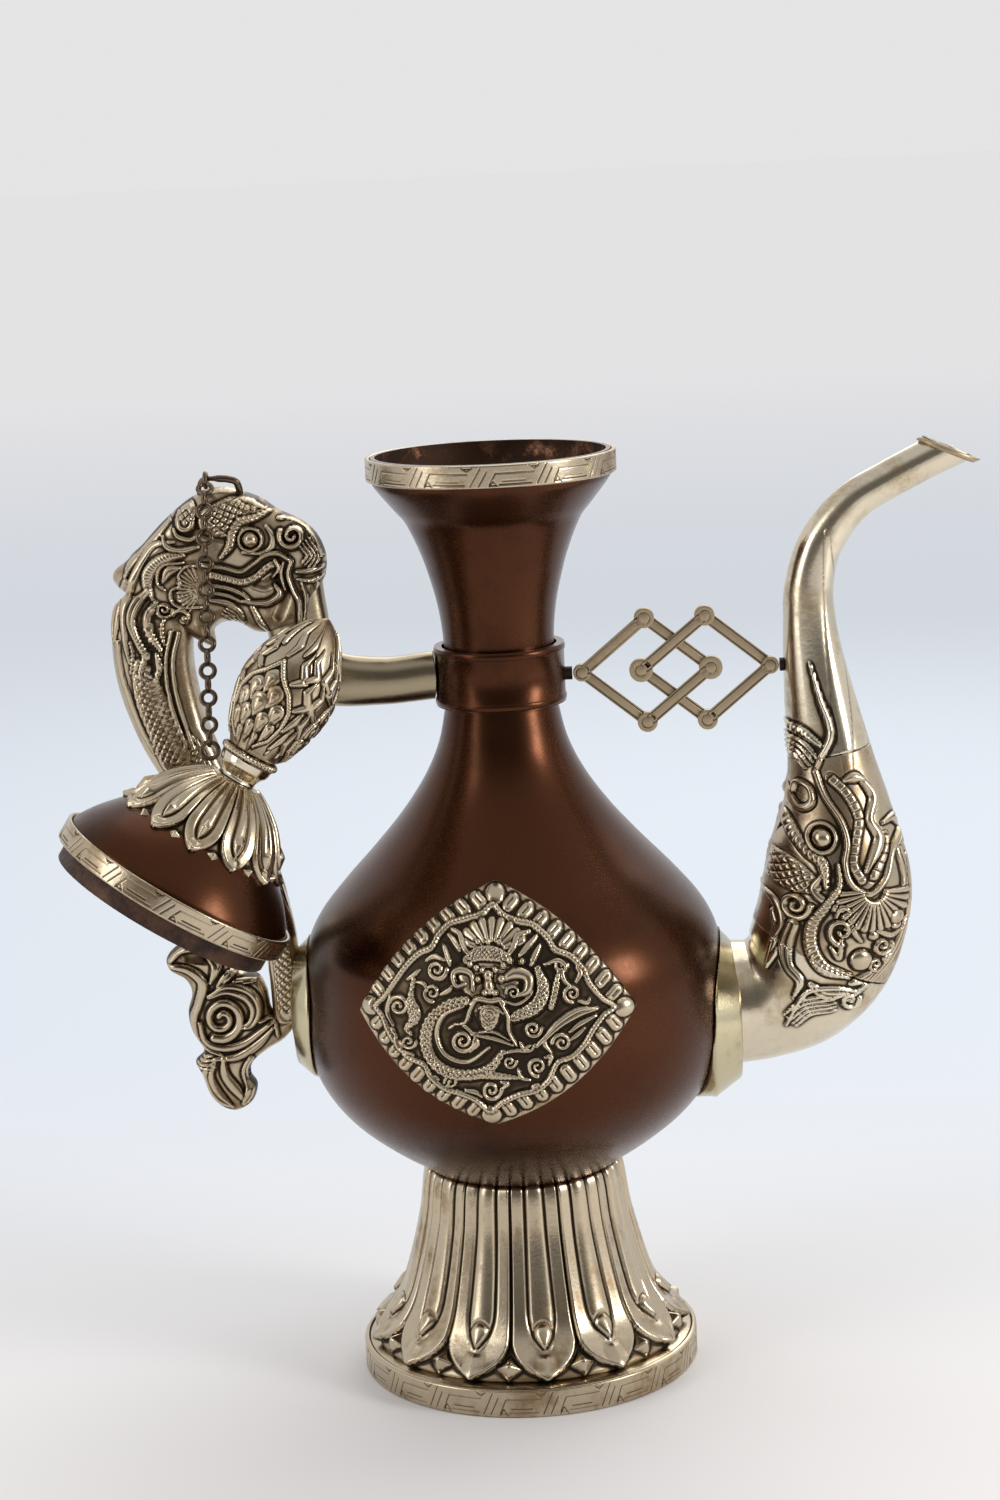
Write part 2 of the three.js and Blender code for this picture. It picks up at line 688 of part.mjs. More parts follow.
function makeLidPetals() {
  const rise = lid.stemHeight - lid.petalTipHeight;
  const outer = lidPetalShares.map(([r, h]) => [r * lid.petalRadius, lid.petalTipHeight + h * rise]);
  const thick = sheet.white + lid.ropeRadius;
  const hole = lid.pinRadius + fit.seam;
  const body = petalled(
    [[0, lid.petalTipHeight], ...outer, [0, lid.stemHeight]],
    lid.petals, lid.petalRadius, thick, sheet.white / 2,
  );
  const roof = lid.domeHeight + lid.ropeRadius;
  const crown = grown(lidDomeOuter(), fit.seam).map(([radius, height]) => [radius, height + fit.seam]);
  const dome = turned([[0, 0], ...crown, [hole, roof + fit.seam], [0, roof + fit.seam]], rounds.large);
  return body.subtract(dome).subtract(turned([
    [0, 0], [hole, 0], [hole, lid.tipHeight], [0, lid.tipHeight],
  ], rounds.small));
}

function makeFinialStem() {
  const low = lid.stemHeight + fit.seam;
  const high = low + lid.cupHeight;
  const hole = lid.pinRadius + fit.seam;
  return turned([
    [hole, low], [lid.stemRadius, low], [lid.stemRadius, low + 0.15 * lid.cupHeight],
    [0.92 * lid.cupRadius, low + 0.5 * lid.cupHeight], [lid.cupRadius, high], [hole, high], [hole, low],
  ], 24);
}

const ropeHeight = lid.stemHeight + fit.seam + lid.cupHeight + fit.seam + lid.ropeRadius;

function makeRopeRing() {
  const hole = lid.pinRadius + fit.seam;
  const wide = lid.cupRadius + 0.5 * lid.ropeRadius;
  return turned([
    [hole, ropeHeight - lid.ropeRadius], [wide - lid.ropeRadius, ropeHeight - lid.ropeRadius],
    [wide, ropeHeight], [wide - lid.ropeRadius, ropeHeight + lid.ropeRadius],
    [hole, ropeHeight + lid.ropeRadius], [hole, ropeHeight - lid.ropeRadius],
  ], 24);
}

function makeBud() {
  const low = ropeHeight + lid.ropeRadius + fit.seam;
  const rise = lid.tipHeight - low;
  const hole = lid.pinRadius + fit.seam;
  const outer = budShares.map(([r, h]) => [r * lid.budRadius, low + h * rise]);
  const seat = low + rise / 4 + fit.seam;
  return turned([[hole, low], ...outer, [0, lid.tipHeight], [0, seat], [hole, seat], [hole, low]], 20);
}

function makePin() {
  const head = lid.domeHeight + lid.ropeRadius - sheet.copper - fit.seam;
  const wide = 2.4 * lid.pinRadius;
  const top = ropeHeight + lid.ropeRadius + (lid.tipHeight - ropeHeight) / 4 - fit.seam;
  return turned([
    [0, head - lid.pinRadius], [wide, head - lid.pinRadius], [wide, head], [lid.pinRadius, head],
    [lid.pinRadius, top], [0, top],
  ], 12);
}

const eyeReach = 0.93 * lid.cupRadius + fit.seam + chain.eye / 2;
const eyeHeight = lid.stemHeight + fit.seam + chain.eye / 2;

function makeLidEye() {
  return link(chain.eye, chain.eye, chain.wire).translate([-eyeReach, 0, eyeHeight]);
}

// The chain's line: each link leans forward from the plumb, most at the staple
const halfTurn = (chain.width - chain.wire) / 2;
const halfLink = (chain.length - chain.wire) / 2;
const bite = chain.wire + fit.seam;

function leanOf(index) {
  const angle = chain.lean + (chain.startLean - chain.lean) * Math.exp(-index / chain.settle);
  return THREE.MathUtils.degToRad(angle);
}

function wayOf(lean) {
  return new THREE.Vector3(0, -Math.sin(lean), -Math.cos(lean));
}

const crown = new THREE.Vector3(chain.stapleX, -chain.stapleForward, headTop + chain.stapleRise);

function chainPlaces() {
  const places = [];
  let pivot = crown.clone();
  for (let i = 0; i < chain.links; i += 1) {
    const way = wayOf(leanOf(i));
    const centre = pivot.clone().addScaledVector(way, halfLink - bite);
    places.push({ pivot, centre, lean: leanOf(i) });
    const next = i % 2 === 0 ? wayOf(leanOf(i + 1)) : way;
    pivot = centre.clone().addScaledVector(way, halfLink - halfTurn).addScaledVector(next, halfTurn);
  }
  return { places, end: pivot, endLean: leanOf(chain.links) };
}

const fall = chainPlaces();

function makeStaple(grow = 0) {
  const span = chain.stapleSpan / 2;
  const depth = chain.stapleRise + chain.stapleFoot;
  const leg = new THREE.Vector3(-span, chain.stapleForward - chain.wire, -depth);
  const shoulder = new THREE.Vector3(-span, chain.wire / 2, -chain.wire);
  const points = [
    leg, shoulder, new THREE.Vector3(-span + chain.wire, 0, 0), new THREE.Vector3(0, 0, 0),
    new THREE.Vector3(span - chain.wire, 0, 0), new THREE.Vector3(span, shoulder.y, shoulder.z),
    new THREE.Vector3(span, leg.y, leg.z),
  ];
  const shape = new THREE.Shape().absarc(0, 0, chain.wire / 2 + grow, 0, 2 * Math.PI);
  const wire = new THREE.ExtrudeGeometry(shape, {
    steps: 12, curveSegments: 3, bevelEnabled: false, extrudePath: new THREE.CatmullRomCurve3(points),
  });
  wire.translate(crown.x + span * 0.62, crown.y, crown.z);
  return solid(wire);
}

// Assembly
const ewer = new THREE.Group();
const vessel = new THREE.Group();
ewer.add(vessel);


vessel.add(
  piece('belly', makeBelly().subtract(spoutBore), darkCopper),
  piece('neck', makeNeck(), darkCopper),
  piece('neck_collar', makeCollar(), darkCopper),
  piece('mouth_band', makeMouthBand(), whiteMetal),
  piece('foot_petals', makeFootPetals(), whiteMetal),
  piece('foot_band', makeFootBand(), whiteMetal),
  piece('base_plate', makeBasePlate(), darkCopper),
  piece('spout_flange', makeSpoutFlange(), whiteMetal),
  piece('spout_elbow', makeSpoutElbow(), whiteMetal),
  piece('spout_makara', makeSpoutMakara(), whiteMetal),
  piece('spout_tube', makeSpoutTube(), whiteMetal),
  piece('spout_lip', makeSpoutLip(), goldenMetal),
  piece('handle_flange', makeHandleFlange(), whiteMetal),
  piece('handle_body', makeHandleBody(), whiteMetal),
  piece('handle_head', makeHandleHead(), whiteMetal),
  piece('handle_beam', makeHandleBeam(), whiteMetal),
  piece('handle_tail', makeHandleTail(), whiteMetal),
  piece('front_plaque', makePlaque(-1), whiteMetal),
  piece('back_plaque', makePlaque(1), whiteMetal),
  piece('chain_staple', makeStaple(), oxidised),
);

vessel.add(
  piece('brace_left', makeLozenge(braceStart, 1, [1, 0, 1, 0]), goldenMetal),
  piece('brace_right', makeLozenge(braceEnd, -1, [0, 1, 0, 1]), goldenMetal),
  piece('brace_lug_neck', makeNeckLug(), goldenMetal),
  piece('brace_lug_spout', makeSpoutLug(), goldenMetal),
);

const hanging = new THREE.Group();
ewer.add(hanging);
fall.places.forEach(({ centre, lean }, i) => {
  const ring = link(chain.length, chain.width, chain.wire);
  const name = `chain_link_${String(i + 1).padStart(2, '0')}`;
  const mesh = piece(name, i % 2 === 0 ? ring.rotate([0, 0, 90]) : ring, oxidised);
  mesh.position.copy(centre);
  mesh.rotation.x = -lean;
  hanging.add(mesh);
});

const lidGroup = new THREE.Group();
lidGroup.add(
  piece('lid_dome', makeLidDome(), darkCopper),
  piece('lid_band', makeLidBand(), whiteMetal),
  piece('lid_bezel', makeLidBezel(), darkCopper),
  piece('lid_petals', makeLidPetals(), whiteMetal),
  piece('finial_stem', makeFinialStem(), whiteMetal),
  piece('finial_rope_ring', makeRopeRing(), whiteMetal),
  piece('finial_bud', makeBud(), whiteMetal),
  piece('finial_pin', makePin(), goldenMetal),
  piece('lid_eye', makeLidEye(), oxidised),
);
lidGroup.rotation.set(
  -THREE.MathUtils.degToRad(lid.lean), THREE.MathUtils.degToRad(lid.tilt), 0, 'XYZ',
);
const eyeNormal = across.clone().applyEuler(lidGroup.rotation);
const eyeTop = wayOf(fall.endLean).negate().projectOnPlane(eyeNormal).normalize();
const eyeCentre = fall.end.clone().addScaledVector(wayOf(fall.endLean), -bite - fit.seam / 2);
eyeCentre.addScaledVector(eyeTop, (chain.wire - chain.eye) / 2);
const eyeOffset = new THREE.Vector3(-eyeReach, 0, eyeHeight).applyEuler(lidGroup.rotation);
lidGroup.position.copy(eyeCentre).sub(eyeOffset);
hanging.add(lidGroup);

export default ewer;
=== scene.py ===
import logging
import math
from dataclasses import dataclass, field
from enum import Enum
from typing import Sequence

import bpy
import numpy as np
from mathutils import Matrix, Vector


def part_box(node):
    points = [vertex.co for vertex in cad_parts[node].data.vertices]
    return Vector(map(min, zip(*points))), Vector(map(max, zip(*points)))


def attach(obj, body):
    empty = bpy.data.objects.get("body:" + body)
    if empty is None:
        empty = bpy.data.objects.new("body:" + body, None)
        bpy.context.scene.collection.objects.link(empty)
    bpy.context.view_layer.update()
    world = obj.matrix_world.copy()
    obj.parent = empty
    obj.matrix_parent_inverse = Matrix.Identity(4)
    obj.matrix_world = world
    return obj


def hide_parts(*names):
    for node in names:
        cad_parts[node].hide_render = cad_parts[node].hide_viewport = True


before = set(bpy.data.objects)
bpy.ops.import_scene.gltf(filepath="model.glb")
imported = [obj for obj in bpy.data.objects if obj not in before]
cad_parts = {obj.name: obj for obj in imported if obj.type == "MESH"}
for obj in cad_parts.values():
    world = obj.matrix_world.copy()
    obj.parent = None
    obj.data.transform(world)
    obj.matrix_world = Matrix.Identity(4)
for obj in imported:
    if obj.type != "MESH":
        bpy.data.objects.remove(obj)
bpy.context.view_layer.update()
log = logging.getLogger("ewer")

MM = 0.001
Points = Sequence[Sequence[float]]
Colour = tuple[float, float, float]


# Shader building


class Wire:
    """A shader socket that can stand in a Python expression."""

    def __init__(self, bench: "Bench", socket: bpy.types.NodeSocket) -> None:
        """Keeps the bench that makes new nodes and the socket itself."""
        self.bench = bench
        self.socket = socket

    def _with(self, operation: str, first: object, second: object) -> "Wire":
        """Adds one Math node over two values."""
        return self.bench.make("ShaderNodeMath", {"operation": operation}, {0: first, 1: second})

    def __add__(self, other: object) -> "Wire":
        """Sum."""
        return self._with("ADD", self, other)

    def __sub__(self, other: object) -> "Wire":
        """Difference."""
        return self._with("SUBTRACT", self, other)

    def __rsub__(self, other: object) -> "Wire":
        """Difference from a number."""
        return self._with("SUBTRACT", other, self)

    def __mul__(self, other: object) -> "Wire":
        """Product."""
        return self._with("MULTIPLY", self, other)

    __radd__ = __add__
    __rmul__ = __mul__


class Bench:
    """Makes the nodes of one material or world."""

    def __init__(self, tree: bpy.types.NodeTree) -> None:
        """Empties the tree."""
        self.tree = tree
        tree.nodes.clear()

    def node(self, kind: str, settings: dict, inputs: dict) -> bpy.types.Node:
        """Adds a node.

        Args:
            kind: The node's type.
            settings: What is set on the node itself; "stops" fills a ramp.
            inputs: Values or wires of its sockets, by name or place.

        Returns:
            The new node.
        """
        made = self.tree.nodes.new(kind)
        for key, value in settings.items():
            if key == "stops":
                ramp = made.color_ramp
                while len(ramp.elements) < len(value):
                    ramp.elements.new(0.5)
                for element, (place, colour) in zip(ramp.elements, value):
                    element.position = place
                    element.color = (*colour, 1.0)
            else:
                setattr(made, key, value)
        for key, value in inputs.items():
            if isinstance(value, Wire):
                self.tree.links.new(value.socket, made.inputs[key])
            elif isinstance(value, tuple) and len(value) == 3 and made.inputs[key].type == "RGBA":
                made.inputs[key].default_value = (*value, 1.0)
            else:
                made.inputs[key].default_value = value
        return made

    def make(
        self, kind: str, settings: dict | None = None, inputs: dict | None = None, out: int | str = 0,
    ) -> Wire:
        """Adds a node and returns one of its outputs as a wire."""
        return Wire(self, self.node(kind, settings or {}, inputs or {}).outputs[out])

    def noise(self, where: Wire, scale: float, detail: float = 3.0, roughness: float = 0.55) -> Wire:
        """A noise between 0 and 1 in object space."""
        return self.make(
            "ShaderNodeTexNoise", {},
            {"Vector": where, "Scale": scale, "Detail": detail, "Roughness": roughness},
        )

    def between(
        self, value: Wire, low: float, high: float, to_low: float = 0.0, to_high: float = 1.0,
    ) -> Wire:
        """Maps a span of values smoothly to another."""
        return self.make(
            "ShaderNodeMapRange",
            {"interpolation_type": "SMOOTHSTEP"},
            {0: value, 1: low, 2: high, 3: to_low, 4: to_high},
        )

    def mix(self, factor: object, first: object, second: object) -> Wire:
        """Mixes two colours."""
        return self.make(
            "ShaderNodeMix",
            {"data_type": "RGBA"},
            {0: factor, 6: first, 7: second},
            out=2,
        )


def new_material(name: str) -> tuple[bpy.types.Material, Bench]:
    """An empty material and its bench."""
    material = bpy.data.materials.new(name)
    material.use_nodes = True
    return material, Bench(material.node_tree)


def close_material(bench: Bench, constants: dict, wires: dict) -> None:
    """Ends a material in one Principled shader.

    Args:
        bench: The material's bench.
        constants: Sockets that are the same all over.
        wires: Sockets that change over the surface.
    """
    shader = bench.node("ShaderNodeBsdfPrincipled", {}, {**constants, **wires})
    bench.node("ShaderNodeOutputMaterial", {}, {"Surface": Wire(bench, shader.outputs[0])})


@dataclass(frozen=True)
class Metal:
    """A metal with a bright rubbed face, tarnish and painted shade in its hollows.

    The mesh's cavity values say what is proud and what is sunk.

    Fields:
        name: The material's name.
        slot: The paint slot of the pieces that wear it; not used.
        bright: Colour of the rubbed face.
        tarnish: Colour of its stains.
        recess_shade: Painted shade, the colour given to what is sunk.
        rough: Roughness of the rubbed face and of the stains.
        tarnish_share: How much of the face is stained.
        recess_shade_from: Cavity value at which the painted shade is full.
        recess_shade_to: Cavity value at which it has gone.
        patch: Scale of the stains.
        grain: Scale of the finest grain.
    """

    name: str
    slot: str
    bright: Colour
    tarnish: Colour
    recess_shade: Colour
    metallic: float = 1.0
    rough: tuple[float, float] = (0.26, 0.46)
    tarnish_share: float = 0.45
    recess_shade_from: float = 0.30
    recess_shade_to: float = 0.50
    patch: float = 55.0
    grain: float = 900.0
    bump: float = 0.25
    coat: float = 0.0

    def material(self) -> bpy.types.Material:
        """The finish as a Blender material."""
        made, bench = new_material(self.name)
        where = bench.make("ShaderNodeTexCoord", out="Object")
        cavity = bench.make("ShaderNodeAttribute", {"attribute_name": "cavity"}, out="Fac")
        patches = bench.noise(where, self.patch, 5.0)
        specks = bench.noise(where, self.patch * 7, 4.0, 0.7)
        grain = bench.noise(where, self.grain, 2.0)
        level = cavity + (patches - 0.5) * 0.22 + (specks - 0.5) * 0.1
        # Painted shade: depth is 0 where the shade colour of the hollows is full and 1 where it has gone.
        depth = bench.between(level, self.recess_shade_from, self.recess_shade_to)
        wear = patches * 0.9 + specks * 0.35 - (cavity - 0.5) * 1.1
        tarnished = bench.between(wear, 1.02 - self.tarnish_share, 1.32 - self.tarnish_share)
        face = bench.mix(tarnished, self.bright, self.tarnish)
        # The painted shade of the hollows is laid over the stained face.
        colour = bench.mix(depth, self.recess_shade, face)
        rough = bench.between(tarnished + (1 - depth), 0, 1, *self.rough) + (grain - 0.5) * 0.08
        relief = grain * 0.35 + specks * 0.65
        normal = bench.make(
            "ShaderNodeBump", {}, {"Strength": self.bump, "Distance": 0.0003, "Height": relief}
        )
        constants = {"Metallic": self.metallic, "Coat Weight": self.coat, "Coat Roughness": 0.22}
        close_material(bench, constants, {"Base Color": colour, "Roughness": rough, "Normal": normal})
        return made


@dataclass(frozen=True)
class Ground:
    """A plain pale floor with painted light: warmer near the camera, cooler behind the ewer, paler far off.
    """

    name: str
    near: Colour = (0.86, 0.84, 0.83)
    middle: Colour = (0.76, 0.81, 0.87)
    far: Colour = (0.95, 0.94, 0.945)

    def material(self) -> bpy.types.Material:
        """The finish as a Blender material."""
        made, bench = new_material(self.name)
        where = bench.make("ShaderNodeTexCoord", out="Object")
        depth = Wire(bench, bench.node("ShaderNodeSeparateXYZ", {}, {0: where}).outputs[1])
        # Painted light: the floor's tints grade with distance, and the far part is paler to make up for the
        # lamps' light falling away.
        colour = bench.mix(bench.between(depth, -0.1, 0.45), self.near, self.middle)
        colour = bench.mix(bench.between(depth, 1.2, 5.0), colour, self.far)
        constants = {"Roughness": 0.9, "Specular IOR Level": 0.0}
        close_material(bench, constants, {"Base Color": colour})
        return made


class Finish(Enum):
    """The finishes of the ewer."""

    # The third colour of each finish is painted shade, given to its hollows.
    WHITE_METAL = Metal(
        "white_metal", "white_metal", (0.55, 0.46, 0.33), (0.29, 0.20, 0.11), (0.036, 0.027, 0.018),
        rough=(0.24, 0.42), tarnish_share=0.5,
    )
    SMOOTH_METAL = Metal(
        "smooth_white_metal", "white_metal", (0.73, 0.65, 0.50), (0.42, 0.32, 0.19), (0.035, 0.027, 0.018),
        rough=(0.18, 0.34), patch=38.0, bump=0.2,
    )
    DULL_METAL = Metal(
        "dull_white_metal", "white_metal", (0.36, 0.30, 0.20), (0.20, 0.15, 0.085), (0.035, 0.027, 0.018),
        rough=(0.24, 0.4), patch=34.0, bump=0.2,
    )
    GILT = Metal(
        "greened_white_metal", "white_metal", (0.57, 0.51, 0.34), (0.30, 0.24, 0.12), (0.05, 0.045, 0.025),
        rough=(0.22, 0.4), patch=30.0,
    )
    COPPER = Metal(
        "copper", "copper", (0.070, 0.0222, 0.0072), (0.036, 0.0132, 0.0055), (0.018, 0.011, 0.008),
        metallic=0.93, rough=(0.27, 0.36), patch=20.0, bump=0.12, coat=0.1,
    )
    INNER_COPPER = Metal(
        "inner_copper", "copper", (0.33, 0.16, 0.09), (0.055, 0.03, 0.02), (0.02, 0.012, 0.009),
        rough=(0.35, 0.6), tarnish_share=0.75, patch=110.0, bump=0.6,
    )
    BEZEL = Metal(
        "dark_copper", "copper", (0.10, 0.048, 0.028), (0.035, 0.02, 0.014), (0.015, 0.01, 0.008),
        metallic=0.6, rough=(0.45, 0.6), tarnish_share=0.6, patch=80.0, bump=0.5,
    )
    BRASS = Metal(
        "dull_brass", "gilt_brass", (0.42, 0.33, 0.215), (0.25, 0.18, 0.10), (0.03, 0.022, 0.015),
        metallic=0.85, rough=(0.42, 0.56), patch=90.0,
    )
    WIRE = Metal(
        "chain_metal", "chain_metal", (0.135, 0.096, 0.064), (0.018, 0.014, 0.012), (0.006, 0.005, 0.005),
        rough=(0.24, 0.42), tarnish_share=0.7, patch=160.0,
    )


class Palette:
    """Makes each finish once."""

    def __init__(self) -> None:
        """Starts with nothing made."""
        self._made: dict[Finish, bpy.types.Material] = {}

    def __getitem__(self, finish: Finish) -> bpy.types.Material:
        """The material of a finish."""
        if finish not in self._made:
            self._made[finish] = finish.value.material()
        return self._made[finish]


# Lines, outlines and meshes


def spline(points: Points, shares: np.ndarray) -> np.ndarray:
    """Points of a smooth line through given ones.

    Args:
        points: The points that the line goes through.
        shares: Places from 0 to 1, each stretch between two points taking the same share.

    Returns:
        One row for each share.
    """
    knots = np.asarray(points, float)
    if knots.ndim == 1:
        knots = knots[:, None]
    knots = np.vstack([2 * knots[0] - knots[1], knots, 2 * knots[-1] - knots[-2]])
    spans = len(knots) - 3
    place = np.clip(shares, 0, 1) * spans
    start = np.minimum(place.astype(int), spans - 1)
    t = (place - start)[:, None]
    a, b, c, d = (knots[start + k] for k in range(4))
    return 0.5 * (
        2 * b + (c - a) * t + (2 * a - 5 * b + 4 * c - d) * t**2 + (3 * b - a - 3 * c + d) * t**3
    )


def drawn(points: Points, step: float, closed: bool = False) -> np.ndarray:
    """A smooth line with evenly spaced points.

    Args:
        points: The points that the line goes through.
        step: Rough spacing.
        closed: True where the end joins the start.

    Returns:
        The spaced points, without a repeat of the first where closed.
    """
    knots = np.asarray(points, float)
    if closed:
        wrapped = np.vstack([knots[-2:], knots, knots[:2]])
        spans = len(wrapped) - 1
        dense = spline(wrapped, np.linspace(2 / spans, (2 + len(knots)) / spans, 16 * len(knots) + 1))
    else:
        dense = spline(knots, np.linspace(0, 1, 16 * len(knots)))
    along = np.concatenate([[0], np.cumsum(np.linalg.norm(np.diff(dense, axis=0), axis=1))])
    count = max(3, int(round(along[-1] / step)) + 1)
    at = np.linspace(0, along[-1], count)
    made = np.stack([np.interp(at, along, dense[:, k]) for k in range(dense.shape[1])], 1)
    return made[:-1] if closed else made


def smooth(values: np.ndarray, low: float, high: float) -> np.ndarray:
    """A smooth step from 0 at low to 1 at high."""
    t = np.clip((values - low) / (high - low), 0, 1)
    return t * t * (3 - 2 * t)


def offset(line: np.ndarray, distance: float) -> np.ndarray:
    """A line moved to its left by a distance, in its plane."""
    way = np.gradient(line, axis=0)
    way /= np.linalg.norm(way, axis=1)[:, None] + 1e-12
    return line + distance * np.stack([-way[:, 1], way[:, 0]], 1)


def shell(outer: np.ndarray, thickness: float) -> np.ndarray:
    """A closed outline of a sheet whose outer side runs upwards."""
    return np.vstack([outer, offset(outer, thickness)[::-1]])


def vertex_normals(places: np.ndarray, quads: np.ndarray) -> np.ndarray:
    """Normals of a mesh's vertices.

    Args:
        places: The vertices.
        quads: Faces of four corners.

    Returns:
        One unit row for each vertex.
    """
    a, b, c, d = (places[quads[:, k]] for k in range(4))
    faces = np.cross(c - a, d - b)
    total = np.stack(
        [
            sum(np.bincount(quads[:, k], faces[:, axis], len(places)) for k in range(4))
            for axis in range(3)
        ],
        1,
    )
    return total / (np.linalg.norm(total, axis=1)[:, None] + 1e-12)


def blurred(values: np.ndarray, quads: np.ndarray, reach: int) -> np.ndarray:
    """One value for each vertex, averaged over its neighbours.

    Args:
        values: The values.
        quads: Faces of four corners.
        reach: How many rounds of averaging.

    Returns:
        The averaged values.
    """
    ends = np.vstack([quads[:, [k, (k + 1) % 4]] for k in range(4)])
    first, second = np.vstack([ends, ends[:, ::-1]]).T
    near = np.maximum(np.bincount(first, minlength=len(values)), 1)
    soft = values.copy()
    for _ in range(reach):
        soft = np.bincount(first, soft[second], len(values)) / near
    return soft


def cavity_of(places: np.ndarray, quads: np.ndarray, reach: int = 10, depth: float = 0.32) -> np.ndarray:
    """How far each vertex stands out of its surroundings.

    Args:
        places: The vertices.
        quads: Faces of four corners.
        reach: How many rounds of smoothing give the surroundings.
        depth: The height in millimetres that counts as fully proud or sunk.

    Returns:
        Values from 0, sunk, over 0.5, level, to 1, proud.
    """
    soft = np.stack([blurred(places[:, k], quads, reach) for k in range(3)], 1)
    proud = ((places - soft) * vertex_normals(places, quads)).sum(1)
    return np.clip(0.5 + 0.5 * proud / depth, 0, 1)


def relief_cavity(high: np.ndarray, quads: np.ndarray, reach: int = 7, depth: float = 0.55) -> np.ndarray:
    """How far relief stands out of its surroundings, from its heights alone.

    Args:
        high: Height of the relief at each vertex, in millimetres.
        quads: Faces of four corners.
        reach: How many rounds of smoothing give the surroundings.
        depth: The height that counts as fully proud or sunk.

    Returns:
        Values from 0, sunk, over 0.5, level, to 1, proud.
    """
    return np.clip(0.5 + 0.5 * (high - blurred(high, quads, reach)) / depth, 0, 1)


def facing_out(places: np.ndarray, quads: np.ndarray) -> np.ndarray:
    """The faces of a closed body, turned round where they face inwards."""
    a, b, c, d = (places[quads[:, k]] for k in range(4))
    volume = (a * np.cross(b, c)).sum() + (a * np.cross(c, d)).sum()
    return quads if volume > 0 else quads[:, [1, 0, 3, 2]]


def grid_quads(rows: int, columns: int, wrap_rows: bool, wrap_columns: bool) -> np.ndarray:
    """Faces of a grid of vertices, with its ends joined where asked."""
    r = np.arange(rows if wrap_rows else rows - 1)
    c = np.arange(columns if wrap_columns else columns - 1)
    a = (r[:, None] * columns + c[None, :]).ravel()
    b = (r[:, None] * columns + (c[None, :] + 1) % columns).ravel()
    d = (((r[:, None] + 1) % rows) * columns + c[None, :]).ravel()
    e = (((r[:, None] + 1) % rows) * columns + (c[None, :] + 1) % columns).ravel()
    return np.stack([a, b, e, d], 1)


def mesh_piece(
    name: str, places: np.ndarray, quads: np.ndarray, cavity: np.ndarray | None = None,
) -> bpy.types.Object:
    """An object from vertices in millimetres.

    Args:
        name: The object's name.
        places: The vertices.
        quads: Faces of four corners; one that repeats a corner is a triangle.
        cavity: A value from 0 to 1 for each vertex, worked out where it isn't given.

    Returns:
        The linked object, shaded smooth.
    """
    quads = facing_out(places, quads)
    if cavity is None:
        cavity = cavity_of(places, quads)
    mesh = bpy.data.meshes.new(name)
    three = quads[:, 3] == quads[:, 2]
    quads = np.where(((quads[:, 1] == quads[:, 0]) & ~three)[:, None], quads[:, [1, 2, 3, 3]], quads)
    three = quads[:, 3] == quads[:, 2]
    sizes = np.where(three, 3, 4)
    loops = quads.ravel()[np.stack([np.ones(len(quads), bool)] * 3 + [~three], 1).ravel()]
    mesh.vertices.add(len(places))
    mesh.vertices.foreach_set("co", (places * MM).astype(np.float32).ravel())
    mesh.loops.add(len(loops))
    mesh.loops.foreach_set("vertex_index", loops.astype(np.int32))
    mesh.polygons.add(len(quads))
    mesh.polygons.foreach_set("loop_start", np.concatenate([[0], np.cumsum(sizes)[:-1]]).astype(np.int32))
    mesh.update(calc_edges=True)
    mesh.validate()
    attribute = mesh.attributes.new("cavity", "FLOAT", "POINT")
    if len(attribute.data) == len(cavity):
        attribute.data.foreach_set("value", cavity.astype(np.float32))
    made = bpy.data.objects.new(name, mesh)
    bpy.context.scene.collection.objects.link(made)
    mesh.polygons.foreach_set("use_smooth", np.ones(len(mesh.polygons), bool))
    return made


def object_cavity(piece: bpy.types.Object, reach: int = 6, depth: float = 0.32) -> None:
    """Writes the cavity values of a piece that was modelled with Blender's own tools."""
    mesh = piece.data
    places = np.zeros(len(mesh.vertices) * 3)
    mesh.vertices.foreach_get("co", places)
    places = places.reshape(-1, 3) / MM
    quads = np.array([(list(face.vertices) + [face.vertices[-1]])[:4] for face in mesh.polygons])
    values = cavity_of(places, quads, reach, depth)
    attribute = mesh.attributes.get("cavity") or mesh.attributes.new("cavity", "FLOAT", "POINT")
    attribute.data.foreach_set("value", values.astype(np.float32))


def capped(rings: np.ndarray) -> tuple[np.ndarray, np.ndarray]:
    """Closes both ends of a grid of rings with a fan.

    Args:
        rings: Vertices as rings by corners by three.

    Returns:
        The vertices and faces.
    """
    count, around = rings.shape[:2]
    places = np.vstack([rings.reshape(-1, 3), rings[0].mean(0), rings[-1].mean(0)])
    quads = grid_quads(count, around, False, True)
    k = np.arange(around)
    low, high = count * around, count * around + 1
    first = np.stack([(k + 1) % around, k, np.full(around, low), np.full(around, low)], 1)
    top = (count - 1) * around
    last = np.stack([top + k, top + (k + 1) % around, np.full(around, high), np.full(around, high)], 1)
    return places, np.vstack([quads, first, last])


# Pieces modelled with Blender's own tools


def clear_selection() -> None:
    """Deselects everything."""
    bpy.ops.object.select_all(action="DESELECT")


def settle(piece: bpy.types.Object) -> None:
    """Applies a piece's own place, so that its object sits at the origin."""
    clear_selection()
    piece.select_set(True)
    bpy.context.view_layer.objects.active = piece
    bpy.ops.object.transform_apply(location=True, rotation=True, scale=True)


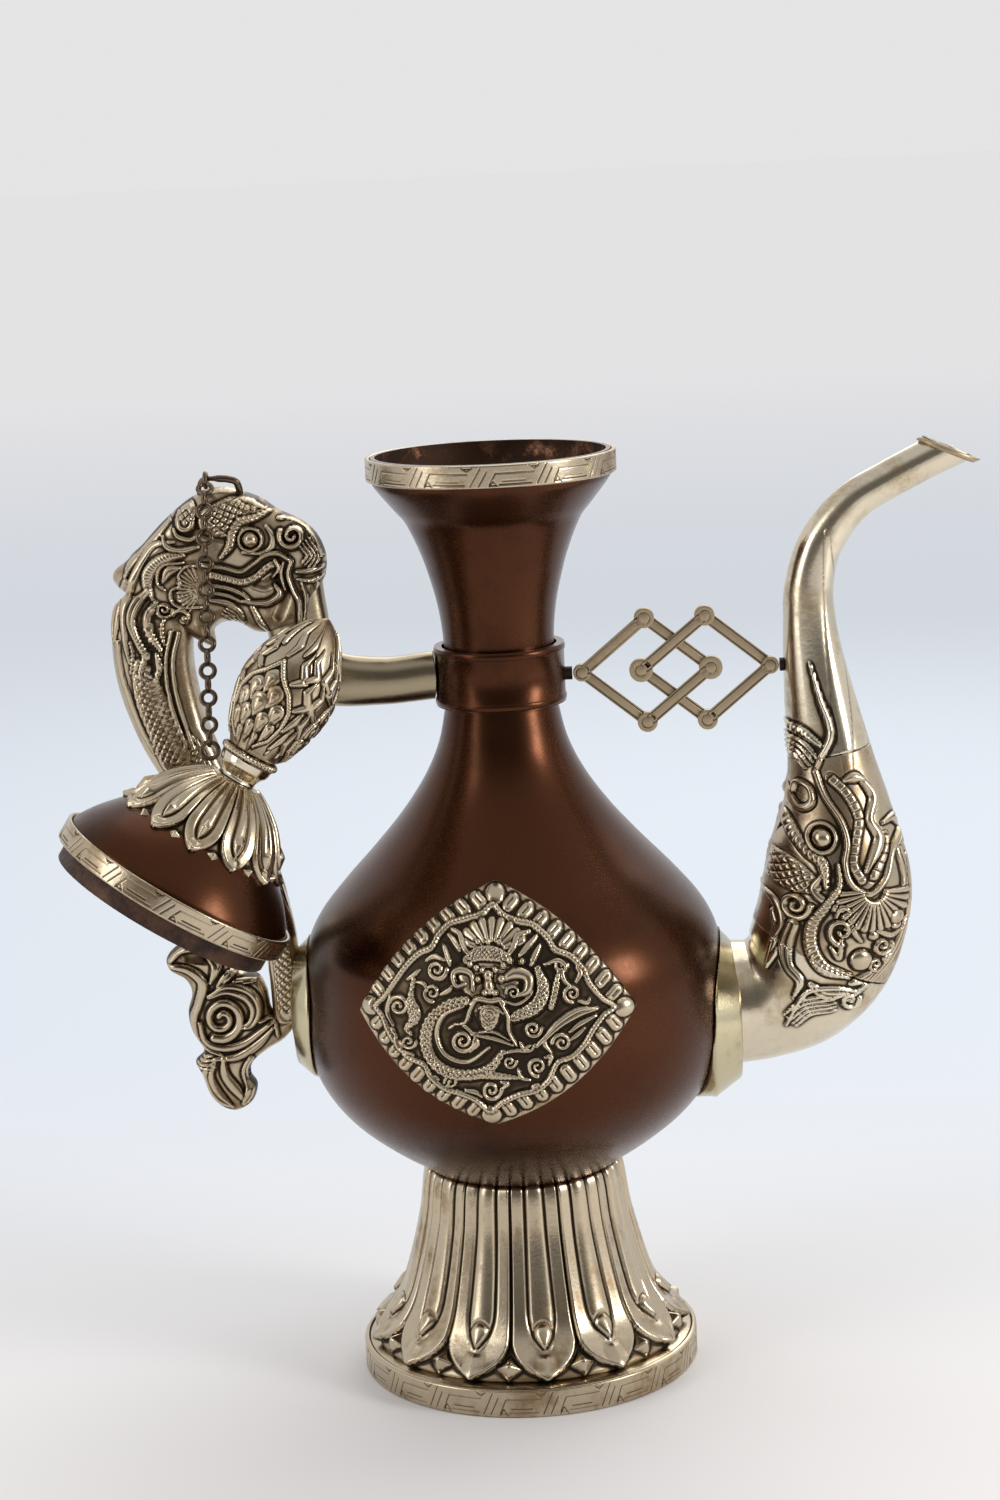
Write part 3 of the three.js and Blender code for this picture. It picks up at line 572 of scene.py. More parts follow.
def turned(
    name: str, profile: Points, steps: int, closed: bool = True, worn_and_shaded: bool = False,
) -> bpy.types.Object:
    """A turned piece, drawn as one half outline and spun round the upright axis.

    Args:
        name: The object's name.
        profile: Radius and height of each point, in millimetres.
        steps: How many steps the spin takes.
        closed: True where the outline's end joins its start.
        worn_and_shaded: True where edges are bright and hollows get painted shade.

    Returns:
        The piece.
    """
    spots = [Vector((float(r) * MM, 0, float(z) * MM)) for r, z in profile]
    if closed:
        spots.append(spots[0])
    clear_selection()
    bpy.ops.mesh.primitive_plane_add(size=MM)
    piece = bpy.context.object
    piece.name = name
    bpy.ops.object.mode_set(mode="EDIT")
    bpy.ops.mesh.select_all(action="SELECT")
    bpy.ops.mesh.merge(type="CENTER")
    bpy.ops.transform.translate(value=spots[0])
    for before, after in zip(spots, spots[1:]):
        bpy.ops.mesh.extrude_region_move(TRANSFORM_OT_translate={"value": after - before})
    bpy.ops.mesh.select_all(action="SELECT")
    bpy.ops.mesh.spin(steps=steps, angle=math.tau, center=(0, 0, 0), axis=(0, 0, 1))
    bpy.ops.mesh.select_all(action="SELECT")
    bpy.ops.mesh.remove_doubles(threshold=0.00002)
    bpy.ops.mesh.normals_make_consistent(inside=False)
    bpy.ops.object.mode_set(mode="OBJECT")
    settle(piece)
    clear_selection()
    piece.select_set(True)
    bpy.ops.object.shade_smooth_by_angle(angle=math.radians(42))
    # Cavity values give bright edges and painted shade in the hollows.
    if worn_and_shaded:
        object_cavity(piece)
    else:
        level = piece.data.attributes.new("cavity", "FLOAT", "POINT")
        level.data.foreach_set("value", np.full(len(piece.data.vertices), 0.55, np.float32))
    return piece


def wire_loop(name: str, length: float, width: float, wire: float) -> bpy.types.Object:
    """A closed link of round wire, lying in the XZ plane and longer along Z.

    Args:
        name: The object's name.
        length: Its length outside.
        width: Its width outside.
        wire: The wire's diameter.

    Returns:
        The link, with its middle at the origin.
    """
    clear_selection()
    bpy.ops.mesh.primitive_torus_add(
        major_radius=(width - wire) / 2 * MM,
        minor_radius=wire / 2 * MM,
        major_segments=40,
        minor_segments=14,
        rotation=(math.pi / 2, 0, 0),
    )
    piece = bpy.context.object
    piece.name = name
    settle(piece)
    for side in (-1, 1):
        for corner in piece.data.vertices:
            corner.select = corner.co.z * side > 0
        bpy.ops.object.mode_set(mode="EDIT")
        bpy.ops.transform.translate(value=(0, 0, side * (length - width) / 2 * MM))
        bpy.ops.object.mode_set(mode="OBJECT")
    bpy.ops.object.shade_smooth()
    object_cavity(piece)
    return piece


def place_mesh(piece: bpy.types.Object, matrix: Matrix) -> None:
    """Moves a piece's mesh, with the matrix's place in millimetres."""
    scaled = matrix.copy()
    scaled.translation = matrix.translation * MM
    piece.data.transform(scaled)
    piece.data.update()


# Relief, drawn with lines


class Cut(Enum):
    """The cross section or pattern of a drawn line."""

    ROUND = "round"
    FLAT = "flat"
    ROPE = "rope"
    BEADS = "beads"
    LEAF = "leaf"
    SCALES = "scales"
    GROOVE = "groove"
    TEETH = "teeth"


@dataclass
class Mark:
    """One line of relief."""

    line: np.ndarray
    widths: np.ndarray
    height: float
    cut: Cut
    level: float
    pitch: float


@dataclass
class Relief:
    """Raised and sunk lines on a drawing whose units are turned into millimetres.

    Fields:
        origin: Where the drawing's origin lies.
        right: What one unit to the right is.
        down: What one unit downwards is.
        moat: Width of the sunk edge beside a line, as a share of its half width.
        marks: The lines drawn so far.
    """

    origin: tuple[float, float] = (0.0, 0.0)
    right: tuple[float, float] = (1.0, 0.0)
    down: tuple[float, float] = (0.0, 1.0)
    moat: float = 0.35
    marks: list = field(default_factory=list)

    def spot(self, points: Points) -> np.ndarray:
        """Drawing places in millimetres."""
        p = np.asarray(points, float)
        return np.array(self.origin) + p[:, :1] * np.array(self.right) + p[:, 1:] * np.array(self.down)

    @property
    def unit(self) -> float:
        """Millimetres in one unit."""
        return math.sqrt(abs(self.right[0] * self.down[1] - self.right[1] * self.down[0]))

    def add(
        self,
        points: Points,
        width: float | Sequence[float],
        height: float,
        cut: Cut = Cut.ROUND,
        level: float = 0.0,
        pitch: float = 3.0,
        closed: bool = False,
    ) -> None:
        """Draws one line.

        Args:
            points: Places that the line goes through.
            width: Half width in units, or several along the line.
            height: Height in millimetres.
            cut: The cross section.
            level: Height of the ground under the line.
            pitch: Repeat of a rope or bead row in millimetres.
            closed: True for a ring.
        """
        line = drawn(self.spot(points), max(0.5, self.unit * 6), closed)
        if closed:
            line = np.vstack([line, line[:1]])
        widths = np.atleast_1d(np.asarray(width, float)) * self.unit
        if len(widths) == 1:
            spread = np.full(len(line), widths[0])
        else:
            spread = spline(widths, np.linspace(0, 1, len(line)))[:, 0]
        self.marks.append(Mark(line, np.maximum(spread, 0.05), height, cut, level, pitch))

    def ball(self, x: float, y: float, radius: float, height: float, level: float = 0.0) -> None:
        """A round boss."""
        self.add([[x - 0.5, y], [x + 0.5, y], [x + 0.6, y]], radius, height, Cut.ROUND, level)

    def spiral(
        self, x: float, y: float, radius: float, start: float, turns: float, height: float,
        cut: Cut = Cut.ROUND,
    ) -> None:
        """A curl that winds inwards from its radius; turns below zero wind the other way."""
        angle = np.radians(start) + np.linspace(0, 1, 26) * turns * math.tau
        reach = radius * (1 - 0.82 * np.linspace(0, 1, 26))
        points = np.stack([x + reach * np.cos(angle), y + reach * np.sin(angle)], 1)
        self.add(points, [radius * 0.26, radius * 0.2, radius * 0.16], height, cut)

    def fan(
        self, x: float, y: float, near: float, far: float, start: float, end: float, count: int,
        width: float, height: float,
    ) -> None:
        """Rays round a middle, from one angle to another in degrees, clockwise as drawn."""
        for angle in np.radians(np.linspace(start, end, count)):
            c, s = math.cos(angle), math.sin(angle)
            spots = [(x + r * c, y + r * s) for r in (near, (near + far) / 2, far)]
            self.add(spots, [width * 0.6, width * 0.9, width * 1.15], height)

    def strands(
        self, points: Points, count: int, gap: float, width: float, height: float, cut: Cut = Cut.ROUND,
    ) -> None:
        """Several lines side by side, gap apart in units."""
        base = drawn(self.spot(points), max(0.5, self.unit * 6))
        for k in range(count):
            line = offset(base, (k - (count - 1) / 2) * gap * self.unit)
            taper = np.sin(np.linspace(0.25, math.pi - 0.2, len(line))) ** 0.5
            self.marks.append(Mark(line, np.maximum(width * self.unit * taper, 0.05), height, cut, 0.0, 3.0))

    def read(self, places: np.ndarray) -> np.ndarray:
        """Heights of the relief.

        Args:
            places: Points in the drawing's plane, in millimetres.

        Returns:
            One height for each point, in millimetres.
        """
        ground = np.zeros(len(places))
        for mark in self.marks:
            reach = mark.widths.max() * 1.6
            low, high = mark.line.min(0) - reach, mark.line.max(0) + reach
            near = np.flatnonzero(((places > low) & (places < high)).all(1))
            if len(near) == 0:
                continue
            share, along, width, side = self._measure(mark, places[near])
            ground[near] = self._raise(ground[near], mark, share, along, width, side)
        return ground

    @staticmethod
    def _measure(mark: Mark, spots: np.ndarray) -> tuple[np.ndarray, ...]:
        """Distance from a line in half widths, place along it, its half width there and the side."""
        a, b = mark.line[:-1], mark.line[1:]
        way = b - a
        size = (way**2).sum(1) + 1e-12
        starts = np.concatenate([[0], np.cumsum(np.sqrt(size))[:-1]])
        best = np.full(len(spots), 1e9)
        share, along, width, side = (np.zeros(len(spots)) for _ in range(4))
        for k in range(len(a)):
            rel = spots - a[k]
            t = np.clip(rel @ way[k] / size[k], 0, 1)
            gap = rel - t[:, None] * way[k]
            half = mark.widths[k] * (1 - t) + mark.widths[k + 1] * t
            q = np.sqrt((gap**2).sum(1)) / half
            closer = q < best
            best[closer] = q[closer]
            share[closer] = q[closer]
            along[closer] = (starts[k] + t * math.sqrt(size[k]))[closer]
            width[closer] = half[closer]
            side[closer] = np.sign(way[k][0] * gap[:, 1] - way[k][1] * gap[:, 0])[closer]
        return share, along, width, side

    def _raise(
        self, ground: np.ndarray, mark: Mark, share: np.ndarray, along: np.ndarray, width: np.ndarray,
        side: np.ndarray,
    ) -> np.ndarray:
        """The ground with one line worked into it."""
        inside = share < 1
        dome = np.sqrt(np.clip(1 - share**2, 0, 1))
        if mark.cut is Cut.GROOVE:
            return ground - mark.height * np.clip(1 - share**2, 0, 1)
        if mark.cut is Cut.FLAT:
            shape = np.clip(1 - share**6, 0, 1) * (0.86 + 0.14 * dome)
        elif mark.cut is Cut.ROPE:
            shape = dome * (0.7 + 0.3 * np.abs(np.cos(math.pi * (along / mark.pitch + side * share * 0.35))))
        elif mark.cut is Cut.BEADS:
            beat = (along / mark.pitch) % 1 * 2 - 1
            shape = np.sqrt(np.clip(1 - share**2 - 0.9 * beat**2, 0, 1))
        elif mark.cut is Cut.TEETH:
            beat = (along / mark.pitch) % 1 * 2 - 1
            shape = np.sqrt(np.clip(1 - share**4, 0, 1) * np.clip(1 - beat**8, 0, 1))
        elif mark.cut is Cut.SCALES:
            across = side * share * width / mark.pitch
            mesh = [np.abs((along / mark.pitch + way * across) % 1 * 2 - 1) for way in (1, -1)]
            cell = 1 - np.maximum(mesh[0], mesh[1]) ** 3
            shape = np.clip(1 - share**4, 0, 1) ** 0.5 * (0.4 + 0.6 * cell)
        elif mark.cut is Cut.LEAF:
            shape = dome * (1 - 0.45 * np.exp(-((share / 0.22) ** 2)))
        else:
            shape = dome
        edge = (share >= 1) & (share < 1 + self.moat)
        sunk = np.where(edge, ground - 0.22 * mark.height * (1 - (share - 1) / self.moat), ground)
        return np.where(
            inside,
            np.maximum(mark.level + mark.height * shape, ground * 0.35 + mark.height * shape * 0.65),
            sunk,
        )


@dataclass
class Blank:
    """A flat piece cut along an outline and covered with a fine grid."""

    outline: np.ndarray
    cell: float

    def __post_init__(self) -> None:
        """Lays the grid and keeps what lies inside the outline."""
        low = self.outline.min(0) - self.cell
        count = np.ceil((self.outline.max(0) + self.cell - low) / self.cell).astype(int) + 1
        xs, zs = (low[k] + self.cell * np.arange(count[k]) for k in range(2))
        spots = np.stack(np.meshgrid(xs, zs, indexing="ij"), -1).reshape(-1, 2)
        depth, nearest = self._depth(spots)
        close = np.abs(depth) < 0.62 * self.cell
        spots[close] = nearest[close]
        kept = (depth > 0) | close
        quads = grid_quads(count[0], count[1], False, False)
        quads = quads[kept[quads].all(1)]
        used = np.unique(quads)
        renumber = np.full(len(spots), -1)
        renumber[used] = np.arange(len(used))
        self.spots = spots[used]
        self.quads = renumber[quads]
        self.depth = np.maximum(np.where(close, 0, depth), 0)[used]

    def _depth(self, spots: np.ndarray) -> tuple[np.ndarray, np.ndarray]:
        """Distance inside the outline, below zero outside, and the nearest point of the outline."""
        best = np.full(len(spots), 1e9)
        nearest = np.zeros_like(spots)
        odd = np.zeros(len(spots), bool)
        for a, b in zip(self.outline, np.roll(self.outline, -1, 0)):
            way = b - a
            t = np.clip((spots - a) @ way / (way @ way + 1e-12), 0, 1)
            foot = a + t[:, None] * way
            gap = np.linalg.norm(spots - foot, axis=1)
            closer = gap < best
            best[closer], nearest[closer] = gap[closer], foot[closer]
            crosses = (a[1] > spots[:, 1]) != (b[1] > spots[:, 1])
            with np.errstate(divide="ignore", invalid="ignore"):
                at = a[0] + (spots[:, 1] - a[1]) / (b[1] - a[1]) * way[0]
            odd ^= crosses & (spots[:, 0] < at)
        return np.where(odd, best, -best), nearest

    def body(self, front: np.ndarray, back: np.ndarray) -> tuple[np.ndarray, np.ndarray]:
        """A closed body between two faces that share the grid.

        Args:
            front: The grid's vertices on the side towards -Y.
            back: The same on the other side.

        Returns:
            The vertices and faces.
        """
        ends = np.vstack([self.quads[:, [k, (k + 1) % 4]] for k in range(4)])
        key = ends.min(1) * (len(self.spots) + 1) + ends.max(1)
        once = np.unique(key, return_index=True, return_counts=True)
        rim = ends[once[1][once[2] == 1]]
        count = len(self.spots)
        wall = np.stack([rim[:, 1], rim[:, 0], rim[:, 0] + count, rim[:, 1] + count], 1)
        return np.vstack([front, back]), np.vstack([self.quads, self.quads[:, ::-1] + count, wall])


# Shared layout, in millimetres


SEAM = 0.3
WALL = 1.5
FOOT_HEIGHT = 71.5
FOOT_RADIUS = 61.7
BELLY_BASE = FOOT_HEIGHT + SEAM
BELLY_HEIGHT = 175.0
BELLY_RADIUS = 77.0
COLLAR_BASE = BELLY_BASE + BELLY_HEIGHT
COLLAR_HEIGHT = 21.0
SEAM_HEIGHT = COLLAR_BASE + COLLAR_HEIGHT / 2
NECK_BASE = SEAM_HEIGHT + SEAM
NECK_HEIGHT = 78.5
NECK_SEAT = 20.0
LIP_RADIUS = 42.4
RIM = NECK_BASE + NECK_HEIGHT
BELLY_SHARES = (
    (0.345, 0), (0.384, 0.006), (0.512, 0.045), (0.665, 0.092), (0.8, 0.142), (0.9, 0.196), (0.965, 0.255),
    (1, 0.33), (0.994, 0.41), (0.97, 0.5), (0.905, 0.565), (0.78, 0.633), (0.63, 0.704), (0.49, 0.776),
    (0.375, 0.85), (0.3, 0.922), (0.26, 1),
)
BELLY_LINE = drawn([(r * BELLY_RADIUS, BELLY_BASE + h * BELLY_HEIGHT) for r, h in BELLY_SHARES], 2.0)


def belly_radius(heights: np.ndarray) -> np.ndarray:
    """The belly's outer radius at some heights."""
    return np.interp(heights, BELLY_LINE[:, 1], BELLY_LINE[:, 0])


def on_belly(across: np.ndarray, heights: np.ndarray, proud: np.ndarray, turn: float) -> np.ndarray:
    """Points over the belly's surface.

    Args:
        across: Distance to the right of the axis, seen from outside.
        heights: Heights.
        proud: Distance from the surface.
        turn: Angle of the viewing side round the axis, 0 at the front, in radians.

    Returns:
        The points.
    """
    radius = belly_radius(heights)
    slope = np.gradient(BELLY_LINE[:, 0], BELLY_LINE[:, 1])
    lean = np.interp(heights, BELLY_LINE[:, 1], slope)
    depth = -np.sqrt(np.maximum(radius**2 - across**2, 1))
    out = np.stack([across / radius, depth / radius, -lean], 1)
    out /= np.linalg.norm(out, axis=1)[:, None]
    spots = np.stack([across, depth, heights], 1) + proud[:, None] * out
    c, s = math.cos(turn), math.sin(turn)
    return spots @ np.array([[c, s, 0], [-s, c, 0], [0, 0, 1]])


@dataclass(frozen=True)
class View:
    """The photograph's camera, in millimetres, radians and pixels."""

    eye: tuple[float, float, float] = (33.65, -1097.57, 448.14)
    pitch: float = 0.197
    yaw: float = -0.0319
    roll: float = -0.0468
    focal: float = 3118.48
    width: float = 1000.0
    height: float = 1500.0

    def axes(self) -> tuple[np.ndarray, np.ndarray, np.ndarray]:
        """The picture's right and upward ways and the way that the camera looks."""
        cp, sp, cy, sy = math.cos(self.pitch), math.sin(self.pitch), math.cos(self.yaw), math.sin(self.yaw)
        look = np.array([sy * cp, cy * cp, -sp])
        level = np.array([cy, -sy, 0.0])
        upright = np.cross(level, look)
        c, s = math.cos(self.roll), math.sin(self.roll)
        return c * level + s * upright, -s * level + c * upright, look

    def on_belly(self, picture: np.ndarray, proud: float) -> np.ndarray:
        """Where points of the picture lie on the belly.

        Args:
            picture: Pixels from the left and from the top.
            proud: Distance from the belly's surface.

        Returns:
            Places in space.
        """
        right, up, look = self.axes()
        aside = (picture[:, :1] - self.width / 2) / self.focal
        below = (picture[:, 1:] - self.height / 2) / self.focal
        way = look + aside * right - below * up
        depth = np.full(len(picture), -BELLY_RADIUS)
        for _ in range(12):
            spots = np.array(self.eye) + ((depth - self.eye[1]) / way[:, 1])[:, None] * way
            reach = belly_radius(spots[:, 2]) + proud
            depth = -np.sqrt(np.maximum(reach**2 - spots[:, 0] ** 2, 1))
        return spots


@dataclass
class TracedRelief(Relief):
    """A drawing traced over the photograph and laid on the belly where it is seen.

    Fields:
        turn: Angle of its own middle round the axis, in radians.
        middle: Height of its own middle.
        scale: Millimetres in one unit.
    """

    turn: float = 0.0
    middle: float = 0.0
    scale: float = 0.07

    def spot(self, points: Points) -> np.ndarray:
        """Places across and above the drawing's middle, in millimetres."""
        x, y, z = View().on_belly(super().spot(points), 2.0).T
        c, s = math.cos(self.turn), math.sin(self.turn)
        return np.stack([x * c + y * s, z - self.middle], 1)

    @property
    def unit(self) -> float:
        """Millimetres in one unit."""
        return self.scale


class Workshop:
    """Dresses pieces and hands them to their bodies."""

    def __init__(self) -> None:
        """Opens the palette."""
        self.palette = Palette()

    def dress(
        self, piece: bpy.types.Object, finish: Finish, nodes: Sequence[str],
        body: str = "vessel",
    ) -> None:
        """Gives a piece its finish and its body, and hides the CAD nodes that it stands for."""
        piece.data.materials.clear()
        piece.data.materials.append(self.palette[finish])
        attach(piece, body)
        if nodes:
            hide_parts(*nodes)
        log.info("%s: %d faces", piece.name, len(piece.data.polygons))

    def keep(self, node: str, finish: Finish) -> None:
        """Gives a CAD node that stays its finish."""
        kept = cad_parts[node]
        kept.data.materials.clear()
        kept.data.materials.append(self.palette[finish])


@dataclass
class Fret:
    """Engraved lines of one repeat of a band, in shares of its length and height."""

    line_width: float = 0.26
    depth: float = 0.22
    lines: tuple = (
        ((0.02, 0.12), (0.12, 0.68), (0.70, 0.68)),
        ((0.17, 0.14), (0.66, 0.14)),
        ((0.22, 0.3), (0.56, 0.3)),
        ((0.74, 0.08), (0.90, 0.94)),
        ((0.86, 0.06), (1.0, 0.8)),
        ((0.62, 0.96), (0.70, 0.80), (0.78, 0.96)),
        ((0.64, 0.9), (0.76, 0.9)),
        ((0.02, 0.04), (0.08, 0.3), (0.15, 0.04)),
        ((0.03, 0.1), (0.14, 0.1)),
    )

    def read(self, around: np.ndarray, height: np.ndarray, length: float, band: float) -> np.ndarray:
        """Depth of the engraving.

        Args:
            around: Place along the repeat, from 0 to 1.
            height: Place up the band, from 0 to 1.
            length: The repeat's length in millimetres.
            band: The band's height in millimetres.

        Returns:
            Depths in millimetres.
        """
        spots = np.stack([around * length, height * band], 1)
        sunk = np.zeros(len(spots))
        for line in self.lines:
            for (x0, y0), (x1, y1) in zip(line, line[1:]):
                a, b = np.array([x0 * length, y0 * band]), np.array([x1 * length, y1 * band])
                way = b - a
                t = np.clip((spots - a) @ way / (way @ way), 0, 1)
                gap = np.linalg.norm(spots - a - t[:, None] * way, axis=1)
                sunk = np.maximum(sunk, self.depth * np.clip(1 - gap / self.line_width, 0, 1))
        return sunk


@dataclass
class EngravedBand:
    """A ring of sheet with a fret engraved round its outside.

    Fields:
        inside: Inner radius.
        outside: Outer radius.
        low: Height of its lower edge.
        high: Height of its upper edge.
        repeats: How many times the fret goes round.
        around: How many columns of vertices the ring has.
        edge: Width of its softened edges.
    """

    inside: float
    outside: float
    low: float
    high: float
    repeats: int
    around: int = 1320
    edge: float = 0.35

    def build(self, name: str) -> bpy.types.Object:
        """The band as a closed mesh."""
        band = self.high - self.low
        face = np.linspace(0, 1, max(10, int(band / 0.36)))
        e = self.edge
        rows = [
            (self.outside - e, self.low),
            *[(self.outside, self.low + e + (band - 2 * e) * v) for v in face],
        ]
        rows += [(self.outside - e, self.high), (self.inside + e, self.high), (self.inside, self.high - e)]
        rows += [(self.inside, self.low + e), (self.inside + e, self.low)]
        angle = np.arange(self.around) * math.tau / self.around
        radius = np.array([r for r, _ in rows])[:, None] + np.zeros(self.around)
        height = np.array([z for _, z in rows])[:, None] + np.zeros(self.around)
        share = (angle * self.repeats / math.tau) % 1
        for k, v in enumerate(face):
            length = math.tau * self.outside / self.repeats
            radius[k + 1] -= Fret().read(share, np.full(self.around, v), length, band)
        sunk = np.array([r for r, _ in rows])[:, None] - radius
        places = np.stack([radius * np.cos(angle), radius * np.sin(angle), height], -1).reshape(-1, 3)
        quads = grid_quads(len(rows), self.around, True, True)[:, ::-1]
        # Painted shade: the engraved lines get low cavity values, which give them the shade colour of the
        # hollows.
        cavity = 0.56 - 1.5 * sunk.ravel()
        return mesh_piece(name, places, quads, np.clip(cavity, 0, 1))


@dataclass
class Petals:
    """A ring of lotus petals over a turned surface.

    Each petal has a rim, a groove, a tongue and a dart beside its tip.

    Fields:
        count: How many petals.
        profile: Radius and height from the root to the tips.
        sunk: How far the ground lies below the petals.
        widest: Share of the pitch that a petal takes where it is widest.
        tongue: The same for the tongue.
        bend: Share of the length at which a petal starts to narrow.
        tongue_tip: Share of the length at which the tongue ends.
        inner: Radius and height of the inner side, from the tips to the root.
        relief: Factor on the petals' own relief.
        dart: Height of the darts.
        dart_at: Share of the length at which a dart has its middle.
        dart_half: Half width and half length of a dart, as shares.
        stud: Height of a pointed stud on the tongue, 0 for a drop and a hollow instead.
        across: How many columns of vertices a petal has.
    """

    count: int
    profile: np.ndarray
    sunk: float
    widest: float
    tongue: float
    bend: float
    tongue_tip: float
    inner: np.ndarray
    relief: float = 1.0
    dart: float = 2.6
    dart_at: float = 0.93
    dart_half: tuple[float, float] = (0.3, 0.062)
    stud: float = 0.0
    across: int = 44

    def height(self, a: np.ndarray, s: np.ndarray, pitch: np.ndarray) -> np.ndarray:
        """Height of the relief.

        Args:
            a: Place across a petal, from -1 to 1 between its neighbours.
            s: Place along it, 0 at the root and 1 at the tip.
            pitch: Half of the petals' spacing there, in millimetres.

        Returns:
            Heights in millimetres.
        """
        past = np.clip((s - self.bend) / (1 - self.bend), 0, 1)
        half = self.widest * (1 - past**2.3)
        soft = 0.34 / pitch
        aside = np.abs(a)
        inside = smooth(half - aside, -soft, soft)
        gone = np.clip((s - (self.tongue_tip - 0.22)) / 0.22, 0, 1)
        tongue = self.tongue * (0.86 + 0.14 * smooth(s, 0, self.bend)) * (1 - gone**2.6)
        on_tongue = np.clip(aside / np.maximum(tongue, 1e-3), 0, 1)
        swell = np.where(tongue > 0.01, np.sqrt(np.clip(1 - on_tongue**2.2, 0, 1)), 0)
        groove = np.exp(-(((aside - tongue - soft) / (1.5 * soft)) ** 2)) * (gone < 1)
        outward = np.clip((aside - tongue) / np.maximum(half - tongue, 1e-3), 0, 1)
        rim = (0.35 + 0.85 * outward**1.4) * smooth(half - aside, 0, 1.6 * soft) * (aside > tongue)
        crease = np.clip(1 - aside / 0.3, 0, 1) * smooth(s, self.tongue_tip, self.tongue_tip + 0.05)
        drop = np.clip(
            1 - ((s - (self.tongue_tip - 0.06)) / 0.075) ** 2 - (a / (self.tongue * 0.7)) ** 2, 0, 1,
        )
        arch = self.tongue_tip - 0.13 + 0.05 * (aside / self.tongue) ** 2
        hollow = np.exp(-(((s - arch) / 0.014) ** 2)) * (aside < self.tongue * 0.7)
        stud = np.clip(1 - aside / (self.tongue * 0.8) - np.abs(s - self.tongue_tip + 0.12) / 0.1, 0, 1)
        petal = rim + 1.5 * swell - 0.9 * groove + 1.3 * crease + self.stud * stud
        petal += (0.9 * np.sqrt(drop) - 0.6 * hollow) * (self.stud == 0)
        dart = np.clip(
            1 - (1 - aside) / self.dart_half[0] - np.abs(s - self.dart_at) / self.dart_half[1], 0, 1,
        )
        ground = -self.sunk * smooth(s, 0.02, 0.5) + self.dart * 1.5 * np.minimum(dart, 0.85)
        return (inside * petal * self.relief + (1 - inside) * ground) * smooth(s, 0.03, 0.075)

    def build(self, name: str) -> bpy.types.Object:
        """The petals as a closed mesh."""
        around = self.count * self.across
        angle = np.arange(around) * math.tau / around
        a = (angle * self.count / math.tau + 0.5) % 1 * 2 - 1
        rows = len(self.profile)
        length = np.concatenate([[0], np.cumsum(np.linalg.norm(np.diff(self.profile, axis=0), axis=1))])
        s = length / length[-1]
        way = np.gradient(self.profile, axis=0)
        way /= np.linalg.norm(way, axis=1)[:, None]
        out = np.stack([-way[:, 1], way[:, 0]], 1)
        if out[len(out) // 2, 0] < 0:
            out = -out
        grid_a, grid_s = np.meshgrid(a, s)
        pitch = np.maximum(self.profile[:, 0], 4)[:, None] * math.pi / self.count + 0 * grid_a
        high = self.height(grid_a, grid_s, pitch)
        radius = self.profile[:, :1] + out[:, :1] * high
        height = self.profile[:, 1:] + out[:, 1:] * high
        radius = np.vstack([radius, np.repeat(self.inner[:, :1], around, 1)])
        height = np.vstack([height, np.repeat(self.inner[:, 1:], around, 1)])
        places = np.stack([radius * np.cos(angle), radius * np.sin(angle), height], -1).reshape(-1, 3)
        quads = grid_quads(len(radius), around, True, True)
        cavity = relief_cavity(high.ravel(), grid_quads(rows, around, False, True), 5, 0.75)
        # Painted shade: the sunk ground between the petals is pushed darker, and the inner side gets a flat
        # 0.4 that shades it partly.
        cavity = cavity + 0.04 - 0.08 * (high.ravel() < -0.55 * self.sunk)
        cavity = np.concatenate([np.clip(cavity, 0, 1), np.full(len(self.inner) * around, 0.4)])
        return mesh_piece(name, places, quads, cavity)


# The vessel's turned pieces


